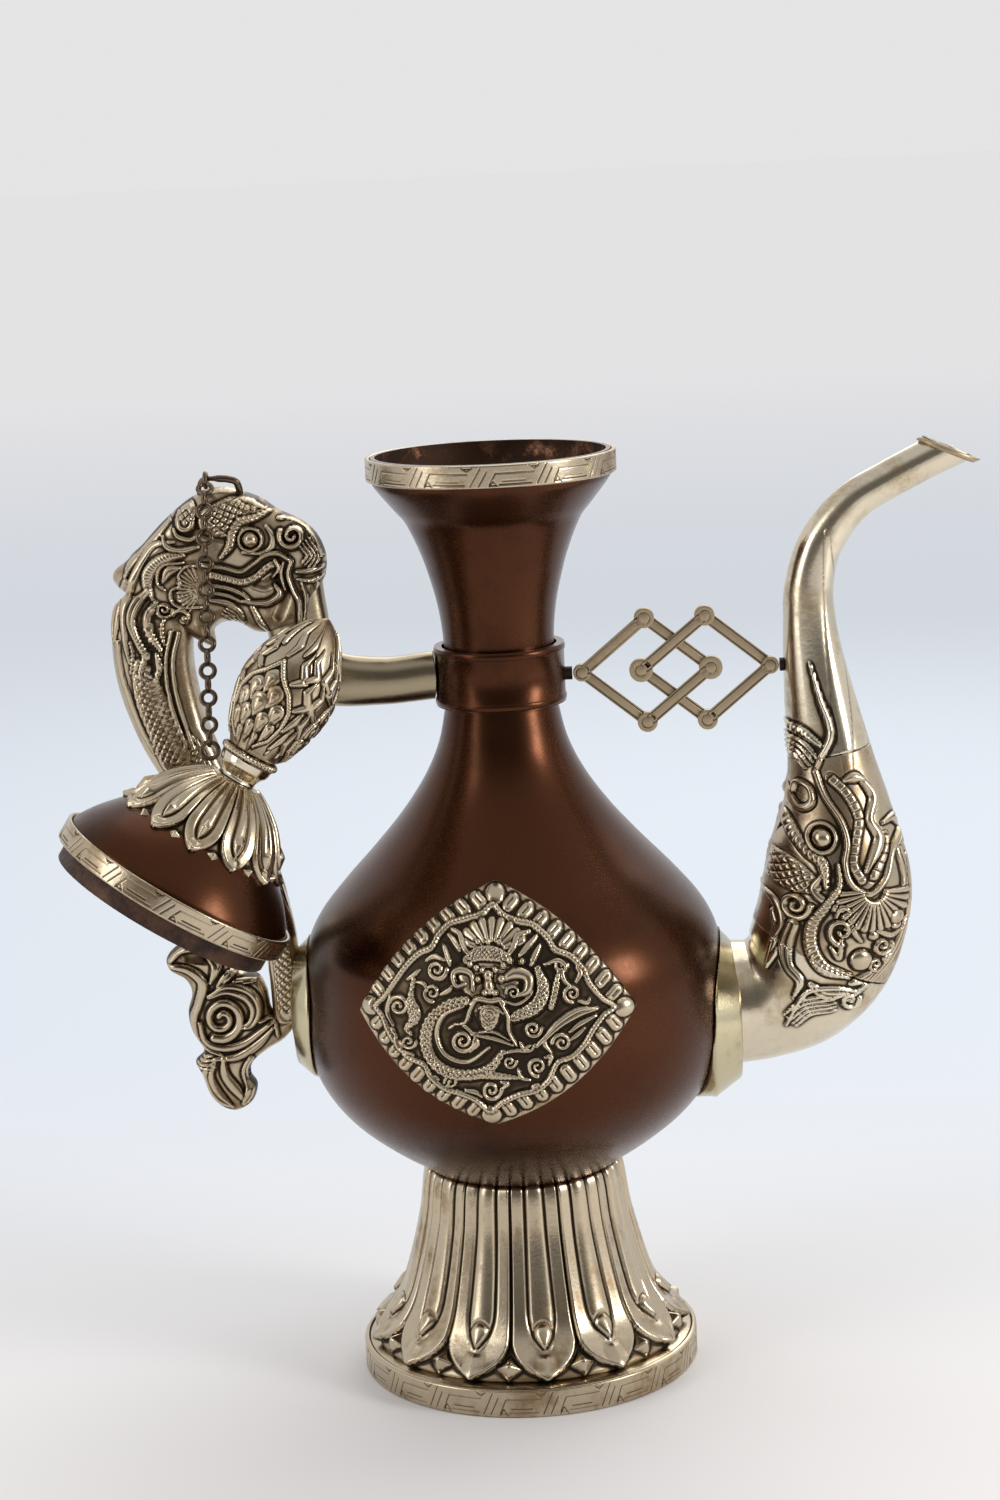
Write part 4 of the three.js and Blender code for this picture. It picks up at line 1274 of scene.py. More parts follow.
@dataclass
class Vessel:
    """Belly, neck, collar, mouth band and closing plate."""

    steps: int = 160
    neck_shares: tuple = (
        (0.472, 0), (0.466, 0.16), (0.5, 0.32), (0.573, 0.48), (0.625, 0.565), (0.685, 0.645),
        (0.745, 0.71), (0.8, 0.745), (0.86, 0.785), (0.92, 0.825), (0.97, 0.86), (1, 0.885), (1, 1),
    )
    collar_radius: float = 22.7
    bead: float = 1.5

    def build(self, shop: Workshop) -> None:
        """Makes and dresses every piece."""
        belly = np.vstack([BELLY_LINE, [[NECK_SEAT, COLLAR_BASE + 2], [NECK_SEAT, SEAM_HEIGHT]]])
        inner = offset(BELLY_LINE, WALL)[1:]
        inner[0] = [inner[0][0], BELLY_BASE + WALL]
        profile = [
            # Painted shade: the flat ground between the figures is pushed darker; higher relief is set a
            # little lighter.
            [0, BELLY_BASE], *belly, [NECK_SEAT - WALL, SEAM_HEIGHT], *inner[::-1], [0, BELLY_BASE + WALL],
        ]
        shop.dress(turned("belly_copper", profile, self.steps, False), Finish.COPPER, ["belly"])
        line = drawn([(r * LIP_RADIUS, NECK_BASE + h * NECK_HEIGHT) for r, h in self.neck_shares[:-1]], 2.0)
        line = np.vstack([line, [[LIP_RADIUS, RIM]]])
        neck = turned("neck_copper", shell(line, WALL), self.steps)
        shop.dress(neck, Finish.COPPER, ["neck"])
        neck.data.materials.append(shop.palette[Finish.INNER_COPPER])
        for face in neck.data.polygons:
            if face.normal.x * face.center.x + face.normal.y * face.center.y < 0:
                face.material_index = 1
        self.collar(shop)
        mouth = EngravedBand(LIP_RADIUS + SEAM, LIP_RADIUS + SEAM + 1.6, RIM - 8, RIM, 12)
        shop.dress(mouth.build("mouth_band_engraved"), Finish.WHITE_METAL, ["mouth_band"])
        shop.keep("base_plate", Finish.COPPER)

    def collar(self, shop: Workshop) -> None:
        """The ringed collar over the joint of neck and belly."""
        low, top, r, b = COLLAR_BASE, COLLAR_BASE + COLLAR_HEIGHT, self.collar_radius, self.bead
        outside = [(r + 0.5, low)]
        for centre in (low + b, top - b):
            for turn in np.linspace(-70, 70, 9):
                angle = math.radians(turn)
                outside.append((r + 0.2 + 0.62 * math.cos(angle), centre + 0.9 * b * math.sin(angle)))
        outside.append((r + 0.5, top))
        bore = NECK_SEAT + 2 * SEAM
        profile = [*outside, (bore, top), (bore, low)]
        shop.dress(turned("collar_copper", profile, self.steps), Finish.COPPER, ["neck_collar"])


@dataclass
class Foot:
    """The petalled cone and the band that it stands on."""

    petals: int = 13
    band_height: float = 10.4
    ledge_bore: float = 50.5
    shares: tuple = (
        (0.505, 1.0), (0.527, 1.036), (0.549, 1.054), (0.566, 1.045), (0.582, 0.985), (0.606, 0.83),
        (0.642, 0.69), (0.686, 0.55), (0.732, 0.43), (0.784, 0.345), (0.86, 0.26), (0.93, 0.195),
        (0.945, 0.165),
    )

    def build(self, shop: Workshop) -> None:
        """Makes and dresses both pieces."""
        line = drawn([(r * FOOT_RADIUS, h * FOOT_HEIGHT) for r, h in self.shares], 0.52)
        inner = np.array([(50, 11.0), (47, 22), (41, 35), (36, 55), (32, 68), (29, 69.5)], float)
        petals = Petals(
            self.petals, line, sunk=1.7, widest=0.97, tongue=0.42, bend=0.78, tongue_tip=0.85, inner=inner,
            dart=3.0, dart_half=(0.42, 0.07),
        )
        shop.dress(petals.build("foot_lotus_petals"), Finish.WHITE_METAL, ["foot_petals"])
        band = EngravedBand(FOOT_RADIUS - 3, FOOT_RADIUS, 0, self.band_height - 0.5, 18, around=1440)
        shop.dress(band.build("foot_band_engraved"), Finish.WHITE_METAL, ["foot_band"])
        ledge_low, ledge = self.band_height - 1.5, self.band_height
        profile = [
            (self.ledge_bore, ledge_low), (FOOT_RADIUS - 3.2, ledge_low),
            (FOOT_RADIUS - 0.5, ledge_low + 0.9), (FOOT_RADIUS - 0.35, ledge - 0.35),
            (FOOT_RADIUS - 0.8, ledge + 0.05), (FOOT_RADIUS - 1.5, ledge + 0.05),
            (FOOT_RADIUS - 1.9, ledge - 0.5), (FOOT_RADIUS - 2.4, ledge - 0.1), (self.ledge_bore, ledge),
        ]
        shop.dress(turned("foot_ledge", profile, 160, worn_and_shaded=True), Finish.WHITE_METAL, [])


# The lid and its chain


@dataclass
class Lid:
    """The lid, modelled upright about its own axis and then set where it hangs."""

    place: tuple[float, float, float] = (-116.771, -49.072, 192.002)
    tilt: float = 32.6
    lean: float = 6.7
    dome_wide: float = 42.1
    radius: float = 43.8
    band: float = 7.7
    dome_high: float = 25.0
    petals: int = 12

    @property
    def matrix(self) -> Matrix:
        """The lid's place as a matrix in millimetres."""
        lean = Matrix.Rotation(math.radians(-self.lean), 4, "X")
        tilt = Matrix.Rotation(math.radians(self.tilt), 4, "Y")
        return Matrix.Translation(self.place) @ (lean @ tilt)

    def set_down(
        self, piece: bpy.types.Object, shop: Workshop, finish: Finish, nodes: Sequence[str],
    ) -> None:
        """Moves a piece into the hanging lid and dresses it."""
        place_mesh(piece, self.matrix)
        shop.dress(piece, finish, nodes, "lid")

    def build(self, shop: Workshop) -> None:
        """Makes and dresses every piece."""
        shares = ((1, 0), (0.945, 0.22), (0.865, 0.48), (0.765, 0.75), (0.66, 1))
        line = drawn(
            [(r * self.dome_wide, self.band + h * (self.dome_high - self.band)) for r, h in shares],
            1.5,
        )
        low = np.array([[self.dome_wide, 0.0], [self.dome_wide, self.band - 1.0]])
        roof = np.array([[20.0, 26.6], [8.0, 27.2], [1.95, 27.3]])
        outer = np.vstack([low, line, roof])
        dome = turned("lid_dome_copper", shell(outer, WALL), 144)
        self.set_down(dome, shop, Finish.COPPER, ["lid_dome"])
        band = EngravedBand(self.dome_wide + SEAM, self.radius, 0, self.band, 13, around=1200)
        self.set_down(band.build("lid_band_engraved"), shop, Finish.WHITE_METAL, ["lid_band"])
        inside = LIP_RADIUS - WALL - 2 * SEAM
        profile = [
            (inside - 1.5, -6.4), (inside - 1.2, -6.6), (inside - 0.2, -6.5),
            (inside, -6.2), (inside, -0.3), (inside - 1.5, -0.3),
        ]
        bezel = turned("lid_bezel_copper", profile, 128)
        self.set_down(bezel, shop, Finish.BEZEL, ["lid_bezel"])
        self.crown(shop)
        self.finial(shop)

    def crown(self, shop: Workshop) -> None:
        """The ring of petals on the dome."""
        points = [
            (7.2, 47), (8.6, 46.2), (13.8, 43.3), (19.8, 38.6), (24.6, 32.6), (27.7, 27.2),
            (30.0, 23.9), (31.6, 22.4),
        ]
        line = drawn(points, 0.36)
        inner = np.array([(27, 24.6), (22, 28.5), (14, 29), (6, 30), (6, 46)], float)
        petals = Petals(
            self.petals, line, sunk=1.5, widest=0.985, tongue=0.36, bend=0.64, tongue_tip=0.84, inner=inner,
            relief=0.85, dart=1.8, dart_at=0.91, dart_half=(0.42, 0.07), stud=1.5,
        )
        self.set_down(
            petals.build("lid_lotus_petals"), shop, Finish.WHITE_METAL, ["lid_petals"],
        )

    def finial(self, shop: Workshop) -> None:
        """Stem, rope ring, bud, eye and pin."""
        stem = drawn([(7.0, 47.3), (6.6, 48.2), (7.4, 50.0), (9.0, 52.0), (9.6, 54.7)], 0.5)
        cup = turned("finial_cup", [(1.95, 47.3), *stem, (1.95, 54.7)], 64, worn_and_shaded=True)
        self.set_down(cup, shop, Finish.SMOOTH_METAL, ["finial_stem"])
        self.set_down(
            self.rope(9.4, 56.3, 1.3), shop, Finish.WHITE_METAL, ["finial_rope_ring"],
        )
        self.set_down(self.bud(), shop, Finish.WHITE_METAL, ["finial_bud"])
        eye = wire_loop("lid_eye_ring", 7.5, 7.5, 1.7)
        place_mesh(eye, Matrix.Translation((-12.98, 0, 51.05)))
        self.set_down(eye, shop, Finish.WIRE, ["lid_eye"])
        shop.keep("finial_pin", Finish.BRASS)

    @staticmethod
    def rope(radius: float, height: float, wire: float) -> bpy.types.Object:
        """A ring of hatched rope."""
        around, corners = 360, 18
        angle = np.arange(around) * math.tau / around
        corner = np.arange(corners) * math.tau / corners
        twist = 0.5 + 0.5 * np.cos(44 * angle[:, None] + 1.6 * np.cos(corner)[None, :])
        thick = wire * (0.76 + 0.24 * twist)
        r = radius + thick * np.cos(corner)[None, :]
        z = height + thick * np.sin(corner)[None, :]
        places = np.stack([r * np.cos(angle)[:, None], r * np.sin(angle)[:, None], z], -1).reshape(-1, 3)
        return mesh_piece("finial_rope", places, grid_quads(around, corners, True, True)[:, ::-1])

    @staticmethod
    def bud() -> bpy.types.Object:
        """The flame bud with arched panels of small petals."""
        low, high, wide = 57.9, 111.0, 16.4
        shares = [
            (0.57, 0), (0.75, 0.12), (0.93, 0.29), (1, 0.43), (0.96, 0.56), (0.82, 0.7), (0.55, 0.85),
            (0.25, 0.96), (0.06, 1.0),
        ]
        line = drawn([(r * wide, low + h * (high - low)) for r, h in shares], 0.4)
        around = 400
        angle = np.arange(around) * math.tau / around
        panels = 3
        a = (angle / math.tau * panels + 0.433) % 1 * 2 - 1
        s = (line[:, 1] - low) / (high - low)
        grid_a, grid_s = np.meshgrid(a, s)
        u = grid_a * wide * math.pi / panels
        v = grid_s * (high - low)
        relief = bud_drawing(wide * math.pi / panels)
        high_of = relief.read(np.stack([u.ravel(), v.ravel()], 1)).reshape(u.shape)
        high_of *= smooth(grid_s, 0, 0.05) * (1 - smooth(grid_s, 0.95, 1.0))
        radius = line[:, :1] + high_of - 0.4
        rings = np.stack([radius * np.cos(angle), radius * np.sin(angle), line[:, 1:] + 0 * radius], -1)
        places, quads = capped(rings)
        cavity = relief_cavity(high_of.ravel(), grid_quads(len(line), around, False, True), 6, 0.5)
        # The bottom cap's middle gets a little painted shade and the tip's middle is set a little lighter.
        return mesh_piece("finial_bud_chased", places, quads, np.append(cavity, [0.4, 0.6]))


def bud_drawing(edge: float) -> Relief:
    """One panel of the bud in millimetres, with the flames beside and over it.

    Args:
        edge: Half of the panel's share of the girth.
    """
    d = Relief(moat=0.5)
    petals = (
        (0, 27.6, 2.7), (-3.5, 23.0, 2.7), (3.5, 23.0, 2.7), (-6.6, 17.6, 2.5), (0, 18.4, 2.9),
        (6.6, 17.6, 2.5), (-3.4, 13.0, 2.4), (3.4, 13.0, 2.4), (-7.2, 11.2, 1.9), (7.2, 11.2, 1.9),
        (0, 9.2, 1.9), (-3.6, 6.4, 1.4), (3.6, 6.4, 1.4),
    )
    for x, y, wide in petals:
        x, wide = x * 1.18, wide * 1.18
        d.add([(x, y), (x * 0.97, y - 2.2), (x * 0.85, y - 5.6)], [wide, wide * 0.8, 0.5], 1.1)
        d.add([(x, y - 0.6), (x * 0.95, y - 3.4)], [wide * 0.5, 0.5], 0.5, Cut.ROPE, 1.0, 0.9)
    for side in (-1, 1):
        arch = [
            (6, 3), (11.2, 8), (12.3, 15), (10.8, 21.5), (7.7, 25.5), (4.9, 27.6), (1.4, 32.0),
            (0, 34.0),
        ]
        d.add([(side * x, y) for x, y in arch], 0.95, 1.3, Cut.ROPE, pitch=1.2)
        d.spiral(side * (edge - 2.4), 4.6, 2.6, 90, side * 1.2, 1.1)
        flames = (
            (edge - 2.3, 8.5, 0.8), (edge - 2.5, 16.5, 0.9), (edge - 2.8, 25.5, 1.1),
            (edge - 8.2, 33.0, 1.1), (edge - 4.0, 36.0, 1.0), (edge - 9.5, 43.0, 0.9),
        )
        for x, y, size in flames:
            curl = [(-1.6, -4.0), (1.3, -3.4), (2.0, -0.4), (-0.2, 2.2), (-0.8, 4.6), (1.2, 7.6)]
            d.add(
                [(side * (x + a * size), y + b * size) for a, b in curl],
                [0.9, 1.5, 1.8, 1.6, 1.1, 0.3], 1.4,
            )
    d.add([(0, 36.5), (1.6, 41), (-1.2, 45.5), (0.4, 50.5)], [0.8, 1.9, 1.5, 0.5], 1.2)
    return d


@dataclass
class Chain:
    """The staple on the dragon's head and the loose links."""

    links: int = 21
    wire: float = 1.7
    length: float = 8.42
    width: float = 6.5
    lean: float = 18.4
    start_lean: float = 80.0
    settle: float = 1.6
    crown: tuple[float, float, float] = (-100.2, -5.0, 331.4)

    def build(self, shop: Workshop) -> None:
        """Makes and dresses staple and links."""
        pattern = wire_loop("chain_pattern", self.length, self.width, self.wire)
        for index, (centre, angle) in enumerate(self.places()):
            link = bpy.data.objects.new(f"chain_ring_{index + 1:02d}", pattern.data.copy())
            bpy.context.scene.collection.objects.link(link)
            turn = Matrix.Rotation(math.pi / 2, 4, "Z") if index % 2 == 0 else Matrix.Identity(4)
            place_mesh(link, Matrix.Translation(centre) @ Matrix.Rotation(-angle, 4, "X") @ turn)
            node = f"chain_link_{index + 1:02d}"
            shop.dress(link, Finish.WIRE, [node], node)
        bpy.data.objects.remove(pattern)
        self.staple(shop)

    def angle_of(self, index: int) -> float:
        """How far a link leans forward from the plumb, in radians."""
        return math.radians(self.lean + (self.start_lean - self.lean) * math.exp(-index / self.settle))

    def places(self) -> list[tuple[Vector, float]]:
        """Centre and lean of each link."""
        half_turn, half_link = (self.width - self.wire) / 2, (self.length - self.wire) / 2
        pivot, made = Vector(self.crown), []
        for index in range(self.links):
            angle = self.angle_of(index)
            way = Vector((0, -math.sin(angle), -math.cos(angle)))
            centre = pivot + way * (half_link - self.wire - SEAM)
            made.append((centre, angle))
            after = self.angle_of(index + 1)
            onward = Vector((0, -math.sin(after), -math.cos(after))) if index % 2 == 0 else way
            pivot = centre + way * (half_link - half_turn) + onward * half_turn
        return made

    def staple(self, shop: Workshop) -> None:
        """The bent wire in the crest of the head, bound with finer wire."""
        x, y, z = self.crown
        span, w = 7.5, self.wire
        points = [
            (-span, 5 - w, -8.4), (-span, 1.6, -3.4), (-span + 1.2, 0.3, -0.5), (-span + 3.4, 0, 0.1),
            (0, 0, 0),
            (span - 4.2, 0, -0.4), (span - 1.4, 0.9, -2.0), (span - 0.4, 5 - w, -8.4),
        ]
        line = drawn([(x + span * 0.62 + a, y + b, z + c) for a, b, c in points], 0.4)
        way = np.gradient(line, axis=0)
        way /= np.linalg.norm(way, axis=1)[:, None]
        side = np.cross(way, [0, 1, 0.3])
        side /= np.linalg.norm(side, axis=1)[:, None]
        up = np.cross(way, side)
        corner = np.arange(14) * math.tau / 14
        bound = 1 + 0.14 * np.abs(np.sin(np.arange(len(line)) * 1.35))
        bound *= 1 + 0.5 * smooth(line[:, 0], x + 2.2, x + 4.5)
        rings = line[:, None] + (w / 2 * 0.92 * bound)[:, None, None] * (
            np.cos(corner)[None, :, None] * side[:, None] + np.sin(corner)[None, :, None] * up[:, None]
        )
        places, quads = capped(rings)
        piece = mesh_piece("chain_staple_wire", places, quads)
        shop.dress(piece, Finish.WIRE, ["chain_staple"])


# Swept pieces of spout and handle


def swept(
    centre: np.ndarray, across: np.ndarray, deep: np.ndarray, corners: int, square: float = 1.0,
) -> np.ndarray:
    """Rings round a line in the XZ plane.

    Args:
        centre: The line's points, in X and Z.
        across: Half width in the plane at each point.
        deep: Half depth along Y at each point.
        corners: How many corners each ring has.
        square: Below 1 for a boxier section.

    Returns:
        Vertices as rings by corners by three.
    """
    way = np.gradient(centre, axis=0)
    way /= np.linalg.norm(way, axis=1)[:, None]
    side = np.stack([way[:, 1], -way[:, 0]], 1)
    angle = np.arange(corners) * math.tau / corners
    c = np.sign(np.cos(angle)) * np.abs(np.cos(angle)) ** square
    s = np.sign(np.sin(angle)) * np.abs(np.sin(angle)) ** square
    plane = centre[:, None] + (across[:, None] * c)[..., None] * side[:, None]
    return np.stack([plane[..., 0], deep[:, None] * s, plane[..., 1]], -1)


def relieved(
    places: np.ndarray, quads: np.ndarray, relief: Relief, sides: float = 0.3,
) -> tuple[np.ndarray, np.ndarray]:
    """Raises a drawing on the front and back of a body.

    Args:
        places: The body's vertices.
        quads: Its faces, turned outwards.
        relief: The drawing in the XZ plane.
        sides: How much a face must look along Y to take all of it.

    Returns:
        The moved vertices and the heights that moved them.
    """
    normals = vertex_normals(places, quads)
    high = relief.read(places[:, [0, 2]]) * smooth(np.abs(normals[:, 1]), 0.05, sides)
    return places + normals * high[:, None], high


@dataclass
class Spout:
    """Flange, plain elbow, makara's head, tapering tube and lip."""

    reach: float = 84.0
    rise: float = 198.7
    root: float = 78.0
    axis: float = 132.0
    body: float = 27.3
    wall: float = 1.3
    cut: float = 24.6
    mouth_way: tuple[float, float, float] = (0.93, 0.0, 0.36)
    sleeve: float = 2.0
    gap: float = 0.0012
    elbow_end: float = 0.19
    makara_end: float = 0.487
    line_shares: tuple = (
        (0, 0), (0.143, 0.006), (0.274, 0.033), (0.381, 0.084), (0.446, 0.149), (0.474, 0.219),
        (0.479, 0.29),
        (0.48, 0.365), (0.464, 0.441), (0.429, 0.541), (0.401, 0.632), (0.388, 0.703), (0.392, 0.768),
        (0.446, 0.841), (0.577, 0.909), (0.748, 0.951), (0.95, 0.992), (1.16, 1.03),
    )
    radius_shares: tuple = (
        0.825, 0.81, 0.9, 0.98, 1, 0.98, 0.885, 0.71, 0.575,
        0.48, 0.396, 0.344, 0.315, 0.29, 0.26, 0.25, 0.253, 0.27,
    )

    def stretch(self, start: float, end: float, steps: int, corners: int, grow: float = 0.0) -> np.ndarray:
        """Rings of one stretch of the spout."""
        shares = np.linspace(start, end, steps)
        knots = [(self.root + x * self.reach, self.axis + z * self.rise) for x, z in self.line_shares]
        radius = spline(self.radius_shares, shares)[:, 0] * self.body + grow
        return swept(spline(knots, shares), radius, radius, corners)

    def pipe(
        self, start: float, end: float, steps: int, corners: int, bore: int = 24,
    ) -> tuple[np.ndarray, np.ndarray]:
        """A closed piece of pipe with its bore, whose vertices start with the outside."""
        outer = self.stretch(start, end, steps, corners)
        inner = self.stretch(start, end, bore, corners, -self.wall)
        rings = np.concatenate([outer, inner[::-1]])
        places = rings.reshape(-1, 3)
        return places, facing_out(places, grid_quads(len(rings), corners, True, True))

    def chased(
        self, start: float, end: float, steps: int, corners: int, relief: Relief,
    ) -> tuple[np.ndarray, ...]:
        """A closed piece of pipe with a drawing on its outside, and its cavity values."""
        places, quads = self.pipe(start, end, steps, corners)
        moved, high = relieved(places, quads, relief, 0.4)
        outer = steps * corners
        places[:outer] = moved[:outer]
        high[outer:] = 0
        return places, quads, relief_cavity(high, quads)

    def build(self, shop: Workshop) -> None:
        """Makes and dresses every piece."""
        places, quads, cavity = self.chased(0.0, self.elbow_end - self.gap, 110, 300, makara_drawing())
        elbow = mesh_piece("spout_elbow_smooth", places, quads, cavity)
        shop.dress(elbow, Finish.SMOOTH_METAL, ["spout_elbow"])
        self.makara(shop)
        places, quads, cavity = self.chased(self.makara_end, 1.0, 320, 132, makara_drawing())
        tube = mesh_piece("spout_tube_smooth", self.slanted(places), quads, cavity)
        shop.dress(tube, Finish.SMOOTH_METAL, ["spout_tube"])
        self.lip(shop)
        self.flange(shop)

    def beyond(self, places: np.ndarray) -> tuple[np.ndarray, np.ndarray]:
        """How far places lie beyond the slanted mouth, and the step back for each millimetre."""
        angle = math.radians(self.cut)
        normal = np.array([math.sin(angle), 0, math.cos(angle)])
        middle = np.array([self.root + self.reach, 0, self.axis + self.rise])
        way = np.array(self.mouth_way)
        return ((places - middle) @ normal)[:, None], way / (way @ normal)

    def slanted(self, places: np.ndarray) -> np.ndarray:
        """Presses what lies beyond the slanted mouth back onto its plane."""
        past, step = self.beyond(places)
        return places - np.maximum(past, 0) * step

    def lip(self, shop: Workshop) -> None:
        """The thin sleeve round the mouth."""
        corners = 72

        def wall(grow: float) -> np.ndarray:
            """Rows of one wall between the sleeve's lower edge and the mouth."""
            ring = self.stretch(0.86, 1.0, 40, corners, grow)[20]
            past, step = self.beyond(ring)
            return np.stack([ring - (past + self.sleeve) * step, ring - past * step])

        places = np.concatenate([wall(1.0), wall(0.15)[::-1]]).reshape(-1, 3)
        piece = mesh_piece("spout_lip_sleeve", places, grid_quads(4, corners, True, True))
        shop.dress(piece, Finish.BRASS, ["spout_lip"])

    def flange(self, shop: Workshop) -> None:
        """The domed plate between belly and elbow."""
        hole, middle = 22.9, self.axis - 3.4
        rows = [
            (30.6, 70.4), (31.0, 71.2), (30.7, 72.0), (30.0, 72.9), (24.6, 80.4), (24.0, 81.1),
            (23.4, 81.3), (hole, 81.0),
        ]
        piece = raised_flange("spout_flange_dome", rows, hole, middle, 1, 160)
        shop.dress(piece, Finish.GILT, ["spout_flange"])

    def makara(self, shop: Workshop) -> None:
        """The sea monster's head that sleeves the spout."""
        places, quads, cavity = self.chased(
            self.elbow_end, self.makara_end - self.gap, 270, 330, makara_drawing(),
        )
        piece = mesh_piece("spout_makara_head", places, quads, cavity)
        shop.dress(piece, Finish.WHITE_METAL, ["spout_makara"])


def raised_flange(
    name: str, rows: Points, hole: float, middle: float, way: int, corners: int,
) -> bpy.types.Object:
    """A plate round an axis along X that fits the belly behind.

    Args:
        name: The object's name.
        rows: Radius and distance from the upright axis of each ring of its face, from its rim inwards.
        hole: Radius at which the back ends.
        middle: Height of its axis.
        way: 1 on the spout's side, -1 on the handle's.
        corners: How many corners each ring has.
    """
    angle = np.arange(corners) * math.tau / corners
    rings = []
    for radius, reach in [*rows, (hole, None), ((hole + 30) / 2, None), (rows[0][0], None)]:
        y, z = radius * np.cos(angle), middle + radius * np.sin(angle)
        seat = np.sqrt(belly_radius(z) ** 2 - y**2) + SEAM
        x = seat if reach is None else np.maximum(reach, seat + 0.3)
        rings.append(np.stack([way * x, y, z], 1))
    places = np.array(rings).reshape(-1, 3)
    quads = grid_quads(len(rings), corners, True, True)
    return mesh_piece(name, places, quads, np.full(len(places), 0.55))


